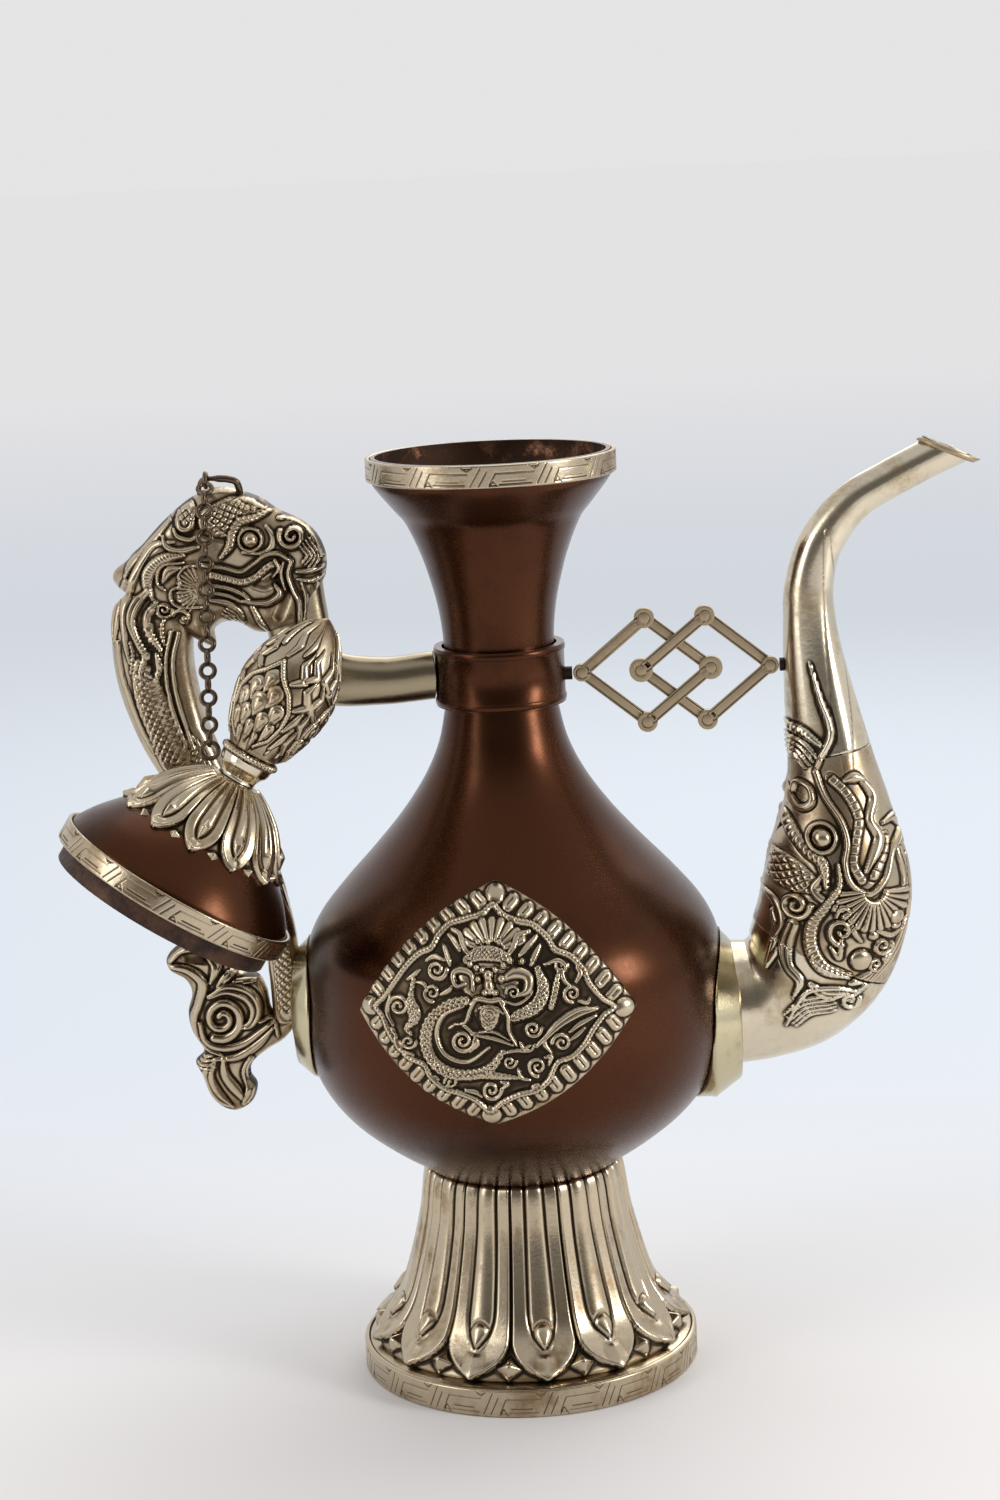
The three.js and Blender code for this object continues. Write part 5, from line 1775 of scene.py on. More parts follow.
def makara_drawing() -> Relief:
    """The makara's features, seen from the side."""
    d = Relief(origin=(70.1, 248.7), right=(0.08883, -0.00371), down=(-0.00307, -0.09213))
    spout_crease = [(505, -620), (530, -300), (560, 0), (585, 190), (600, 330)]
    d.add(spout_crease, [8, 26, 34, 34, 14], 0.3)
    trunk_ridge = [(440, -120), (480, 20), (515, 110), (520, 170), (485, 245), (465, 300)]
    d.add(trunk_ridge, [4, 9, 12, 13, 12, 12], 1.6)
    crest_band = [(350, 130), (410, 150), (480, 195)]
    d.add(crest_band, [16, 22, 10], 1.5, Cut.ROPE, pitch=1.6)
    crest_hair = [(335, 200), (400, 215), (450, 270)]
    d.strands(crest_hair, 4, 20, 10, 1.7)
    nose_curl = [(330, 310), (345, 370), (400, 440), (450, 420), (445, 365), (400, 345), (385, 385)]
    d.add(nose_curl, [16, 20, 18, 15, 12, 10, 8], 2.2)
    cheek_hair = [(330, 470), (285, 520), (255, 590)]
    d.strands(cheek_hair, 4, 22, 11, 1.6)
    jaw_scales = [(240, 640), (330, 680), (450, 725)]
    d.add(jaw_scales, [42, 66, 34], 1.2, Cut.SCALES, pitch=3.4)
    upper_lip = [(310, 470), (345, 480), (380, 540), (430, 600), (485, 640), (500, 730)]
    d.add(upper_lip, [16, 24, 24, 22, 22, 8], 1.9, Cut.ROPE, pitch=2.0)
    eye_ring = [
        (430, 545), (447, 506), (485, 490), (523, 506), (540, 545), (523, 584), (485, 600), (447, 584),
    ]
    d.add(eye_ring, 9, 1.5, closed=True)
    eye = (485, 545)
    d.ball(*eye, 36, 3.0)
    face_vine = [
        (465, 300), (500, 390), (560, 480), (585, 560), (575, 640), (600, 715), (670, 755), (735, 700),
        (765, 600), (820, 520),
    ]
    d.add(face_vine, 13, 2.0)
    toothed_vine = [(520, 320), (585, 380), (632, 470), (618, 560), (608, 640), (640, 700)]
    d.add(toothed_vine, 19, 1.4, Cut.TEETH, pitch=3.0)
    outer_teeth = [(740, 545), (725, 620), (690, 690)]
    d.add(outer_teeth, 18, 1.4, Cut.TEETH, pitch=3.0)
    horn = [(640, 330), (690, 400), (672, 480), (710, 560), (655, 670)]
    d.add(horn, [10, 20, 15, 24, 8], 2.2)
    horn_tip = [(575, 330), (610, 320), (650, 330)]
    d.add(horn_tip, [10, 22, 8], 1.8)
    ear = [(730, 500), (775, 490), (820, 520), (825, 565), (785, 600)]
    d.add(ear, [8, 18, 26, 22, 8], 1.8, Cut.LEAF)
    ear_leaf = [(795, 610), (822, 700), (815, 790)]
    d.add(ear_leaf, [14, 18, 10], 1.5, Cut.LEAF)
    cheek_hook = [(480, 690), (450, 740), (500, 780), (530, 740)]
    d.add(cheek_hook, [10, 16, 16, 8], 1.4)
    chin_curl = (385, 805)
    d.spiral(*chin_curl, 55, 0, 1.6, 2.2)
    shell = (690, 745)
    d.fan(*shell, 45, 150, 178, 8, 15, 13, 1.7)
    pearls = (690, 760)
    for angle in np.radians([165, 128, 90, 55, 20]):
        d.ball(pearls[0] + 165 * math.cos(angle), pearls[1] + 160 * math.sin(angle), 20, 1.5)
    cheek_rope = [(548, 640), (552, 720), (500, 800), (447, 870), (440, 960), (490, 1040), (590, 1075)]
    d.add(cheek_rope, [8, 14, 20, 26, 28, 28, 14], 2.0, Cut.ROPE, pitch=2.0)
    inner_curl = (560, 895)
    d.spiral(*inner_curl, 55, 90, 1.2, 2.0)
    inner_hook = [(520, 960), (550, 1000), (560, 930)]
    d.add(inner_hook, [8, 14, 6], 1.5)
    big_pearl = (640, 1015)
    d.ball(*big_pearl, 44, 2.2)
    outer_curl = (725, 965)
    d.spiral(*outer_curl, 40, 0, 1.3, 1.8)
    upper_pearl = (785, 860)
    d.ball(*upper_pearl, 30, 1.8)
    lower_pearl = (755, 1030)
    d.ball(*lower_pearl, 26, 1.6)
    pearl_leaf = [(600, 1110), (660, 1090), (700, 1060)]
    d.add(pearl_leaf, [10, 22, 8], 1.4, Cut.LEAF)
    throat_leaf = [(310, 850), (325, 930), (270, 1060)]
    d.add(throat_leaf, [22, 24, 5], 1.4, Cut.LEAF)
    neck_leaf = [(372, 880), (345, 960), (352, 1040), (398, 1100), (370, 1170)]
    d.add(neck_leaf, [24, 28, 22, 18, 4], 1.6, Cut.LEAF)
    flame_leaf = [(440, 1110), (500, 1150), (590, 1150)]
    d.add(flame_leaf, [12, 26, 6], 1.6, Cut.LEAF)
    lower_hair = [(360, 1265), (430, 1205), (540, 1190)]
    d.strands(lower_hair, 5, 17, 8, 1.0)
    hair_edge = [(345, 1285), (420, 1150), (530, 1125), (640, 1150)]
    d.add(hair_edge, [6, 10, 10, 5], 1.2)
    jaw_edge = [(240, 770), (300, 800), (330, 880), (290, 960)]
    d.add(jaw_edge, [8, 16, 14, 5], 1.3)
    back_leaf = [(590, 1180), (690, 1100), (780, 1000), (830, 880)]
    d.add(back_leaf, [6, 14, 16, 8], 1.4, Cut.LEAF)
    back_edge = [(830, 640), (845, 760), (835, 880)]
    d.add(back_edge, [8, 14, 6], 1.3)
    lower_curl = (600, 1180)
    d.spiral(*lower_curl, 40, 0, 1.2, 1.5)
    small_curl = (700, 1040)
    d.spiral(*small_curl, 28, 90, 1.2, 1.4)
    shell_hook = [(600, 820), (560, 800), (540, 840)]
    d.add(shell_hook, [8, 12, 6], 1.4)
    small_leaf = [(640, 940), (610, 900), (590, 850)]
    d.add(small_leaf, [6, 12, 6], 1.3, Cut.LEAF)
    outer_leaf = [(700, 900), (760, 930), (800, 920)]
    d.add(outer_leaf, [6, 12, 6], 1.3, Cut.LEAF)
    return d


@dataclass
class Handle:
    """Flange, scaled strap, dragon's head, beam and scrolled tail."""

    root: float = -75.0
    reach: float = 63.0
    rise: float = 196.0
    axis: float = 132.0
    width: float = 14.4
    depth: float = 10.0
    head_depth: float = 10.5
    tail_depth: float = 6.5
    beam_half: float = 8.6
    beam_depth: float = 7.5
    collar: float = 23.75
    strap: tuple = (
        (0.125, 0), (0.135, 0.09), (0.165, 0.19), (0.275, 0.285), (0.43, 0.382), (0.575, 0.478),
        (0.69, 0.565), (0.765, 0.667), (0.76, 0.76), (0.695, 0.835),
    )
    strap_wide: tuple = (0.4, 0.4, 0.42, 0.54, 0.67, 0.79, 0.89, 0.98, 0.98, 0.74)
    strap_deep: tuple = (0.62, 0.62, 0.66, 0.72, 0.78, 0.86, 0.95, 1, 1, 1)
    head_outline: tuple = (
        (0.95, 0.83), (0.87, 0.878), (0.79, 0.902), (0.66, 0.944), (0.49, 0.985), (0.325, 1), (0.125, 0.98),
        (0.02, 0.956), (-0.12, 0.932), (-0.2, 0.905), (-0.24, 0.87), (-0.235, 0.838), (-0.215, 0.822),
        (-0.16, 0.785), (-0.13, 0.742), (0.06, 0.733), (0.18, 0.735), (0.27, 0.753), (0.355, 0.754),
        (0.415, 0.742), (0.46, 0.714),
    )
    tail_outline: tuple = (
        (0.67, 0.159), (0.76, 0.147), (0.815, 0.126), (0.797, 0.104), (0.71, 0.085), (0.68, 0.058),
        (0.708, 0.024), (0.695, -0.012), (0.633, -0.052), (0.685, -0.074), (0.65, -0.101), (0.615, -0.137),
        (0.55, -0.162), (0.46, -0.171), (0.37, -0.155), (0.335, -0.125), (0.368, -0.104), (0.355, -0.08),
        (0.26, -0.055), (0.15, -0.033), (0.075, 0.005), (0.215, 0.017), (0.245, 0.06), (0.29, 0.088),
        (0.38, 0.096), (0.47, 0.121), (0.54, 0.134),
    )
    column: tuple = ((-0.03, 0.84), (-0.05, 0.77), (-0.09, 0.7), (-0.21, 0.645))
    column_wide: tuple = (1.3, 1.3, 1.28, 1.16, 1, 1)

    def at(self, points: Points) -> np.ndarray:
        """Places of shares of the handle's reach and rise."""
        p = np.asarray(points, float)
        return np.stack([self.root - p[:, 0] * self.reach, self.axis + p[:, 1] * self.rise], 1)

    def build(self, shop: Workshop) -> None:
        """Makes and dresses every piece."""
        shares = np.linspace(0, 1, 480)
        rings = swept(
            spline(self.at(self.strap), shares),
            spline(self.strap_wide, shares)[:, 0] * self.width * (1 - 0.45 * smooth(shares, 0.9, 1)),
            spline(self.strap_deep, shares)[:, 0] * self.depth * (1 - 0.3 * smooth(shares, 0.9, 1)),
            190,
            0.72,
        )
        places, quads = capped(rings)
        quads = facing_out(places, quads)
        relief = dragon_drawing()
        relief.marks = scaled_strap(self).marks + relief.marks
        places, high = relieved(places, quads, relief)
        piece = mesh_piece("handle_strap_scaled", places, quads, relief_cavity(high, quads, depth=0.8))
        shop.dress(piece, Finish.WHITE_METAL, ["handle_body"])
        self.slab(
            shop, "handle_dragon_head", self.head_outline, self.head_depth, 8.0, 0.4, dragon_drawing(),
            "handle_head",
        )
        self.slab(
            shop, "handle_tail_scroll", self.tail_outline, self.tail_depth, 4.5, 0.4, tail_drawing(),
            "handle_tail",
        )
        self.beam(shop)
        self.flange(shop)

    def slab(
        self, shop: Workshop, name: str, outline: Points, depth: float, bevel: float, cell: float,
        relief: Relief, node: str,
    ) -> None:
        """A cushion-shaped slab with a drawing on both faces."""
        blank = Blank(drawn(self.at(outline), 0.8, True), cell)
        swell = np.sqrt(1 - (1 - np.clip(blank.depth / bevel, 0, 1)) ** 2)
        thick = 0.9 + (depth - 1.6) * swell
        high = relief.read(blank.spots) * smooth(blank.depth, 0, 1.4)
        x, z = blank.spots.T
        front = np.stack([x, -thick - high, z], 1)
        back = np.stack([x, thick + high, z], 1)
        places, quads = blank.body(front, back)
        cavity = np.tile(relief_cavity(high, blank.quads, depth=0.75), 2)
        shop.dress(mesh_piece(name, places, quads, cavity), Finish.WHITE_METAL, [node])

    def beam(self, shop: Workshop) -> None:
        """The column from the dragon's mouth that turns into the beam to the collar."""
        column = self.at(self.column)
        end = np.array([-24.0, SEAM_HEIGHT])
        middle = [(column[-1][0] + end[0]) / 2, SEAM_HEIGHT - 0.15 * self.beam_half]
        shares = np.linspace(0, 1, 160)
        rings = swept(
            spline([*column, middle, end], shares),
            spline(self.column_wide, shares)[:, 0] * self.beam_half,
            np.full(160, self.beam_depth),
            72,
            0.9,
        )
        seat = -np.sqrt(self.collar**2 - rings[-1, :, 1] ** 2)
        rings[-1, :, 0] = seat
        rings[-2, :, 0] = seat - 0.3
        places, quads = capped(rings)
        piece = mesh_piece("handle_beam_plain", places, quads)
        shop.dress(piece, Finish.DULL_METAL, ["handle_beam"])

    def flange(self, shop: Workshop) -> None:
        """The shallow dome between belly and strap."""
        rows = [(25.6, 72.2), (26.0, 73.0), (25.5, 74.2), (20.8, 79.5), (11.7, 81.05), (0.5, 81.6)]
        piece = raised_flange("handle_flange_dome", rows, 0.5, self.axis + 4.6, -1, 128)
        shop.dress(piece, Finish.GILT, ["handle_flange"])


def scaled_strap(handle: Handle) -> Relief:
    """The scales and rims along the strap's lower stretch, in millimetres."""
    shares = np.linspace(0.03, 0.62, 9)
    line = spline(handle.at(handle.strap), shares)
    wide = spline(handle.strap_wide, shares)[:, 0] * handle.width
    d = Relief()
    d.add(line, wide * 0.6, 1.1, Cut.SCALES, pitch=3.0)
    for side in (-1, 1):
        d.add(offset(line, side * wide.mean() * 0.86), 0.8, 0.9)
    return d


def dragon_drawing() -> Relief:
    """The dragon's head and mane, seen from the side."""
    d = Relief(origin=(-150.2, 340.97), right=(0.07152, -0.00311), down=(-0.00535, -0.07231))
    mane_crest = [(520, 300), (420, 400), (350, 490), (315, 575)]
    d.add(mane_crest, [20, 36, 30, 6], 1.2, Cut.LEAF)
    mane_back = [(320, 600), (278, 740), (264, 840), (268, 915)]
    d.add(mane_back, [18, 26, 22, 4], 1.2, Cut.LEAF)
    strap_edge = [(280, 900), (305, 1060), (390, 1300), (470, 1450)]
    d.add(strap_edge, 13, 0.8, Cut.FLAT)
    mane_sweep = [(560, 400), (450, 420), (385, 520), (345, 620), (312, 740), (322, 900), (345, 1000)]
    d.add(mane_sweep, [8, 18, 22, 22, 20, 16, 8], 1.0)
    strap_scales = [(395, 1020), (450, 1180), (510, 1320), (575, 1480)]
    d.add(strap_scales, [46, 78, 84, 84], 1.1, Cut.SCALES, pitch=3.0)
    strap_rim = [(548, 840), (522, 1000), (548, 1190), (628, 1420)]
    d.add(strap_rim, 9, 1.2)
    strap_inner_rim = [(582, 850), (556, 1000), (584, 1190), (664, 1430)]
    d.add(strap_inner_rim, 10, 1.2)
    nape_scales = [(617, 245), (612, 305)]
    d.add(nape_scales, [48, 54], 2.0, Cut.SCALES, pitch=2.8)
    crown_scales = [(745, 300), (820, 285), (915, 235)]
    d.add(crown_scales, [70, 92, 52], 2.0, Cut.SCALES, pitch=3.0)
    crown_lock = [(500, 375), (520, 420), (585, 445), (675, 425)]
    d.add(crown_lock, [8, 16, 18, 12], 1.8)
    crown_small_lock = [(555, 340), (580, 375), (640, 390), (680, 365)]
    d.add(crown_small_lock, [8, 13, 13, 8], 1.3)
    horn_root = [(930, 180), (950, 215), (1000, 240)]
    d.add(horn_root, [6, 12, 6], 1.3)
    horn = [(1000, 190), (1020, 230), (960, 260), (870, 238)]
    d.add(horn, [8, 14, 12, 5], 1.6, Cut.LEAF)
    brow = [(1045, 240), (960, 278), (885, 298), (848, 350), (835, 420), (790, 480)]
    d.add(brow, [8, 18, 25, 25, 21, 8], 2.3, Cut.ROPE, pitch=1.7)
    eye_fold = [(1010, 320), (1045, 375), (1035, 430), (985, 455), (900, 452)]
    d.add(eye_fold, [6, 15, 15, 10, 6], 1.1)
    eye = (935, 388)
    ring = [(eye[0] + 56 * math.cos(a), eye[1] + 54 * math.sin(a)) for a in np.linspace(0, 5.5, 8)]
    d.add(ring, 10, 1.7, closed=True)
    d.ball(*eye, 40, 3.4)
    muzzle_ridge = [(1065, 285), (1140, 288), (1215, 325), (1262, 400), (1285, 470)]
    d.add(muzzle_ridge, [8, 16, 22, 18, 8], 1.9, Cut.LEAF)
    nostril = (1140, 370)
    d.spiral(*nostril, 64, 200, -1.5, 2.6)
    muzzle_hair = [(1200, 400), (1245, 465), (1215, 520)]
    d.strands(muzzle_hair, 4, 18, 8, 1.4)
    lip_tip = [(1165, 545), (1230, 540), (1300, 520)]
    d.add(lip_tip, [8, 16, 8], 1.6)
    lip_rope = [(1170, 582), (1240, 592), (1298, 565)]
    d.add(lip_rope, [6, 13, 6], 1.3, Cut.ROPE, pitch=1.3)
    mouth_hollow = [(965, 605), (1010, 615), (1050, 590)]
    d.add(mouth_hollow, 30, 1.0, Cut.GROOVE)
    throat_hollow = [(1085, 590), (1110, 680), (1080, 770)]
    d.add(throat_hollow, 32, 1.0, Cut.GROOVE)
    teeth = [(735, 560), (830, 582), (900, 596), (962, 574), (1012, 530), (1052, 505)]
    d.add(teeth, 19, 1.5, Cut.TEETH, pitch=2.1)
    fang = [(1060, 488), (1078, 530), (1048, 575)]
    d.add(fang, [14, 11, 3], 2.2)
    front_fang = [(1100, 500), (1090, 560), (1112, 640)]
    d.add(front_fang, [6, 10, 5], 1.4)
    upper_lip = [(700, 515), (800, 525), (890, 545), (950, 510), (1010, 466), (1075, 456), (1138, 492)]
    d.add(upper_lip, 12, 2.3)
    front_lip = [(1138, 492), (1125, 560), (1152, 640), (1182, 700), (1185, 800)]
    d.add(front_lip, 12, 2.3)
    column_fold = [(1190, 600), (1215, 690), (1205, 800)]
    d.add(column_fold, [6, 12, 8], 1.0, Cut.FLAT)
    column_edge = [(1262, 600), (1275, 690), (1262, 790)]
    d.add(column_edge, [8, 22, 16], 0.9, Cut.FLAT)
    lower_lip = [(740, 612), (830, 627), (900, 655), (940, 690)]
    d.add(lower_lip, [8, 13, 13, 8], 1.7)
    lower_gum = [(740, 648), (830, 664), (900, 695)]
    d.add(lower_gum, [8, 12, 8], 1.5)
    tongue = [(900, 690), (970, 700), (1035, 695), (1085, 655), (1060, 605)]
    d.add(tongue, [8, 13, 18, 19, 7], 2.1)
    chin = [(735, 685), (830, 702), (890, 755), (905, 810)]
    d.add(chin, [8, 17, 17, 6], 1.4)
    beard = [(820, 735), (862, 765), (890, 810)]
    d.strands(beard, 4, 18, 8, 1.2)
    throat_rope = [(950, 720), (985, 790), (1035, 860)]
    d.add(throat_rope, [14, 16, 8], 1.2, Cut.ROPE, pitch=1.6)
    ear_ground = [(650, 560), (640, 680)]
    d.add(ear_ground, 66, 0.35, Cut.FLAT)
    ear_rim = [
        (700, 520), (625, 520), (583, 565), (590, 615), (547, 640), (550, 692), (600, 722), (695, 722),
    ]
    d.add(ear_rim, 7, 1.6)
    ear_rays = (700, 632)
    d.fan(*ear_rays, 25, 122, 118, 246, 13, 6, 0.9)
    cheek_rope = [(605, 465), (520, 482), (445, 540), (428, 605), (455, 685)]
    d.add(cheek_rope, [12, 30, 36, 28, 8], 1.9, Cut.ROPE, pitch=1.1)
    cheek_line = [(605, 502), (500, 520), (478, 600), (520, 640)]
    d.add(cheek_line, [5, 9, 9, 5], 1.3)
    cheek_leaf = [(590, 525), (535, 545), (508, 595)]
    d.add(cheek_leaf, [8, 27, 8], 1.8, Cut.LEAF)
    cheek_curl = (512, 735)
    d.spiral(*cheek_curl, 44, 0, 1.5, 1.9)
    jaw_curl = (603, 780)
    d.spiral(*jaw_curl, 52, 200, 0.9, 1.7)
    jaw_pearl = (612, 778)
    d.ball(*jaw_pearl, 20, 2.3)
    jaw_beads = [(515, 780), (500, 835), (515, 905)]
    d.add(jaw_beads, 9, 1.0, Cut.BEADS, pitch=1.5)
    mane_beads = [(345, 890), (360, 965), (350, 1050)]
    d.add(mane_beads, 10, 1.0, Cut.BEADS, pitch=1.5)
    mane_leaf = [(432, 640), (368, 720), (350, 800), (388, 900), (422, 965), (402, 1030), (406, 1100)]
    d.add(mane_leaf, [18, 26, 24, 19, 17, 13, 4], 1.8, Cut.LEAF)
    inner_mane_leaf = [(472, 700), (432, 770), (442, 850), (490, 920), (505, 960)]
    d.add(inner_mane_leaf, [14, 23, 22, 15, 4], 1.8, Cut.LEAF)
    low_mane_leaf = [(478, 955), (494, 1020), (480, 1080), (500, 1120)]
    d.add(low_mane_leaf, [10, 16, 13, 4], 1.6, Cut.LEAF)
    return d


def tail_drawing() -> Relief:
    """The tail's big scroll and leaves."""
    d = Relief(origin=(-165.09, 247.89), right=(0.09132, -0.0038), down=(-0.00709, -0.09422))
    root_hollow = [(590, 925), (650, 930)]
    d.add(root_hollow, 30, 1.4, Cut.GROOVE)
    root_curl = [(515, 945), (560, 900), (640, 895), (700, 955), (680, 1030)]
    d.add(root_curl, [14, 18, 20, 24, 8], 1.8)
    stem = [(515, 965), (590, 978), (650, 1030), (635, 1110), (615, 1180), (645, 1270), (730, 1318)]
    d.add(stem, [12, 19, 22, 18, 18, 18, 8], 1.9)
    upper_leaf = [(790, 975), (745, 1005), (700, 1065)]
    d.add(upper_leaf, [8, 20, 8], 1.5, Cut.LEAF)
    side_leaf = [(855, 1020), (790, 1030), (705, 1075)]
    d.add(side_leaf, [8, 18, 8], 1.4, Cut.LEAF)
    scroll_leaf = [(675, 1085), (745, 1055), (825, 1075), (862, 1130), (845, 1190), (790, 1210)]
    d.add(scroll_leaf, [10, 24, 32, 30, 22, 8], 2.2, Cut.LEAF)
    scroll = (728, 1172)
    d.spiral(*scroll, 84, 110, -1.7, 2.0)
    scroll_back = [(640, 1190), (662, 1262), (735, 1290), (820, 1270), (890, 1218), (945, 1172)]
    d.add(scroll_back, [10, 15, 17, 17, 14, 6], 1.9)
    lower_back = [(700, 1335), (790, 1325), (870, 1275), (935, 1205)]
    d.add(lower_back, [8, 17, 18, 6], 1.7)
    scroll_tip = [(880, 1185), (932, 1170), (952, 1240)]
    d.add(scroll_tip, 8, 1.3)
    end_vein = [(735, 1330), (745, 1400), (800, 1470), (835, 1510)]
    d.add(end_vein, [10, 20, 22, 8], 1.8)
    end_leaf = [(700, 1345), (672, 1410), (705, 1480), (775, 1528)]
    d.add(end_leaf, [8, 30, 32, 8], 1.6, Cut.LEAF)
    end_edge = [(845, 1330), (825, 1390), (850, 1450), (820, 1515)]
    d.add(end_edge, [12, 19, 25, 10], 1.7)
    end_hair = [(615, 1335), (655, 1352), (700, 1345)]
    d.strands(end_hair, 4, 16, 7, 1.3)
    return d


# Brace and plaques


@dataclass
class Brace:
    """Two interlaced lozenges of riveted bars with a lug at each end."""

    height: float = 18.8
    middle: float = 256.0
    bar: float = 4.2
    thick: float = 1.3
    disc: float = 3.1
    crest_disc: float = 3.6
    eye_disc: float = 4.2
    rivet: float = 1.9
    crest: float = 0.34
    far: float = 0.685

    def build(self, shop: Workshop) -> None:
        """Makes and dresses every piece."""
        box_left, box_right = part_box("brace_left"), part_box("brace_right")
        start = box_left[0].x / MM + self.disc
        end = box_right[1].x / MM - self.disc
        for name, origin, way, layers in (
            ("left", start, 1, (1, 0, 1, 0)), ("right", end, -1, (0, 1, 0, 1)),
        ):
            piece = self.lozenge(f"brace_{name}_lozenge", origin, way, end - start, layers)
            shop.dress(piece, Finish.BRASS, [f"brace_{name}"])
        for node in ("brace_lug_neck", "brace_lug_spout"):
            shop.keep(node, Finish.BRASS)

    def lozenge(
        self, name: str, origin: float, way: int, span: float, layers: Sequence[int],
    ) -> bpy.types.Object:
        """One lozenge of four bars, four discs and four rivets."""
        z = self.middle
        corners = [
            (origin, z), (origin + way * self.crest * span, z + self.height),
            (origin + way * self.far * span, z), (origin + way * self.crest * span, z - self.height),
        ]
        near, far = 0.15, 0.15 + self.thick
        parts = []
        for k, (x, h) in enumerate(corners):
            x1, h1 = corners[(k + 1) % 4]
            low, high = (-far, -near) if layers[k] else (near, far)
            parts.append(self.bar_piece(x, h, x1, h1, low, high))
            radius = (self.disc, self.crest_disc, self.eye_disc, self.crest_disc)[k]
            parts.append(self.round_piece(x, h, radius, -far, far, 0.2))
            parts.append(self.round_piece(x, h, self.rivet, -far - 0.35, far + 0.35, 0.3))
        clear_selection()
        for part in parts:
            part.select_set(True)
        bpy.context.view_layer.objects.active = parts[0]
        bpy.ops.object.join()
        piece = bpy.context.object
        piece.name = name
        settle(piece)
        bpy.ops.object.shade_smooth_by_angle(angle=math.radians(35))
        object_cavity(piece, 2, 0.14)
        return piece

    def bar_piece(
        self, x0: float, z0: float, x1: float, z1: float, low: float, high: float,
    ) -> bpy.types.Object:
        """A bar with softened edges and an engraved line along each edge."""
        length = math.hypot(x1 - x0, z1 - z0)
        clear_selection()
        bpy.ops.mesh.primitive_cube_add(
            size=1,
            location=((x0 + x1) / 2 * MM, (low + high) / 2 * MM, (z0 + z1) / 2 * MM),
            rotation=(0, -math.atan2(z1 - z0, x1 - x0), 0),
            scale=(length * MM, (high - low) * MM, self.bar * MM),
        )
        piece = bpy.context.object
        settle(piece)
        self.engrave(piece, 0.6)
        self.soften(piece, 0.12)
        return piece

    @staticmethod
    def engrave(piece: bpy.types.Object, margin: float) -> None:
        """Cuts a line along the edges of a flat piece's front and back."""
        bpy.ops.object.mode_set(mode="EDIT")
        bpy.ops.mesh.select_all(action="DESELECT")
        bpy.ops.object.mode_set(mode="OBJECT")
        for face in piece.data.polygons:
            face.select = abs(face.normal.y) > 0.9
        bpy.ops.object.mode_set(mode="EDIT")
        bpy.ops.mesh.select_mode(type="FACE")
        bpy.ops.mesh.inset(thickness=margin * MM, depth=0, use_individual=True)
        bpy.ops.mesh.inset(thickness=0.2 * MM, depth=-0.24 * MM, use_individual=True)
        bpy.ops.mesh.inset(thickness=0.2 * MM, depth=0.24 * MM, use_individual=True)
        bpy.ops.object.mode_set(mode="OBJECT")

    def round_piece(
        self, x: float, z: float, radius: float, low: float, high: float, edge: float,
    ) -> bpy.types.Object:
        """A disc or rivet with a rounded edge."""
        clear_selection()
        bpy.ops.mesh.primitive_cylinder_add(
            vertices=40,
            radius=radius * MM,
            depth=(high - low) * MM,
            location=(x * MM, (low + high) / 2 * MM, z * MM),
            rotation=(math.pi / 2, 0, 0),
        )
        piece = bpy.context.object
        settle(piece)
        if radius > self.rivet:
            self.engrave(piece, radius - self.rivet - 0.3)
        self.soften(piece, edge)
        return piece

    @staticmethod
    def soften(piece: bpy.types.Object, width: float) -> None:
        """Bevels a piece's sharp edges."""
        bevel = piece.modifiers.new("edge", "BEVEL")
        bevel.width = width * MM
        bevel.segments = 2
        bevel.limit_method = "ANGLE"
        bevel.angle_limit = math.radians(40)
        bpy.context.view_layer.objects.active = piece
        bpy.ops.object.modifier_apply(modifier=bevel.name)


def bowed_side(start: np.ndarray, end: np.ndarray, bow: float, steps: int) -> np.ndarray:
    """Points of a side that swells out to the right of its way, without its end."""
    t = np.linspace(0, 1, steps, endpoint=False)[:, None]
    way = end - start
    out = np.array([way[1], -way[0]]) / np.linalg.norm(way)
    return start + t * way + 4 * bow * t * (1 - t) * out


@dataclass
class Plaque:
    """A bowed lozenge of chased sheet that lies on the belly."""

    width: float = 95.5
    height: float = 80.0
    bow: float = 5.8
    sag: float = 2.7
    middle: float = 153.2
    turn: float = 4.2
    flange: float = 1.9

    def build(self, shop: Workshop) -> None:
        """Makes and dresses the front and back plaques."""
        w, h = self.width / 2, self.height / 2
        corners = np.array([(w, -self.sag), (0, h), (-w, -self.sag), (0, -h)])
        outline = np.vstack(
            [bowed_side(p, q, self.bow, 22) for p, q in zip(corners, np.roll(corners, -1, 0))],
        )
        blank = Blank(outline, 0.36)
        high = plaque_drawing(math.radians(-self.turn), self.middle).read(blank.spots)
        ground = (high < 0.12) & (blank.depth > self.flange)
        cavity = relief_cavity(high, blank.quads, 6, 0.5) + 0.05 * high - 0.16 * ground
        cavity = np.clip(np.tile(cavity, 2), 0, 1)
        for name, turn in (("front", math.radians(-self.turn)), ("back", math.pi - math.radians(self.turn))):
            across, height = blank.spots.T
            height = height + self.middle
            rim = smooth(blank.depth, 0, 0.8)
            face = on_belly(across, height, SEAM + 0.5 + (0.7 + high) * rim, turn)
            under = on_belly(across, height, np.full(len(across), SEAM), turn)
            places, quads = blank.body(face, under)
            piece = mesh_piece(f"{name}_plaque_chased", places, quads, cavity)
            shop.dress(piece, Finish.WHITE_METAL, [f"{name}_plaque"])


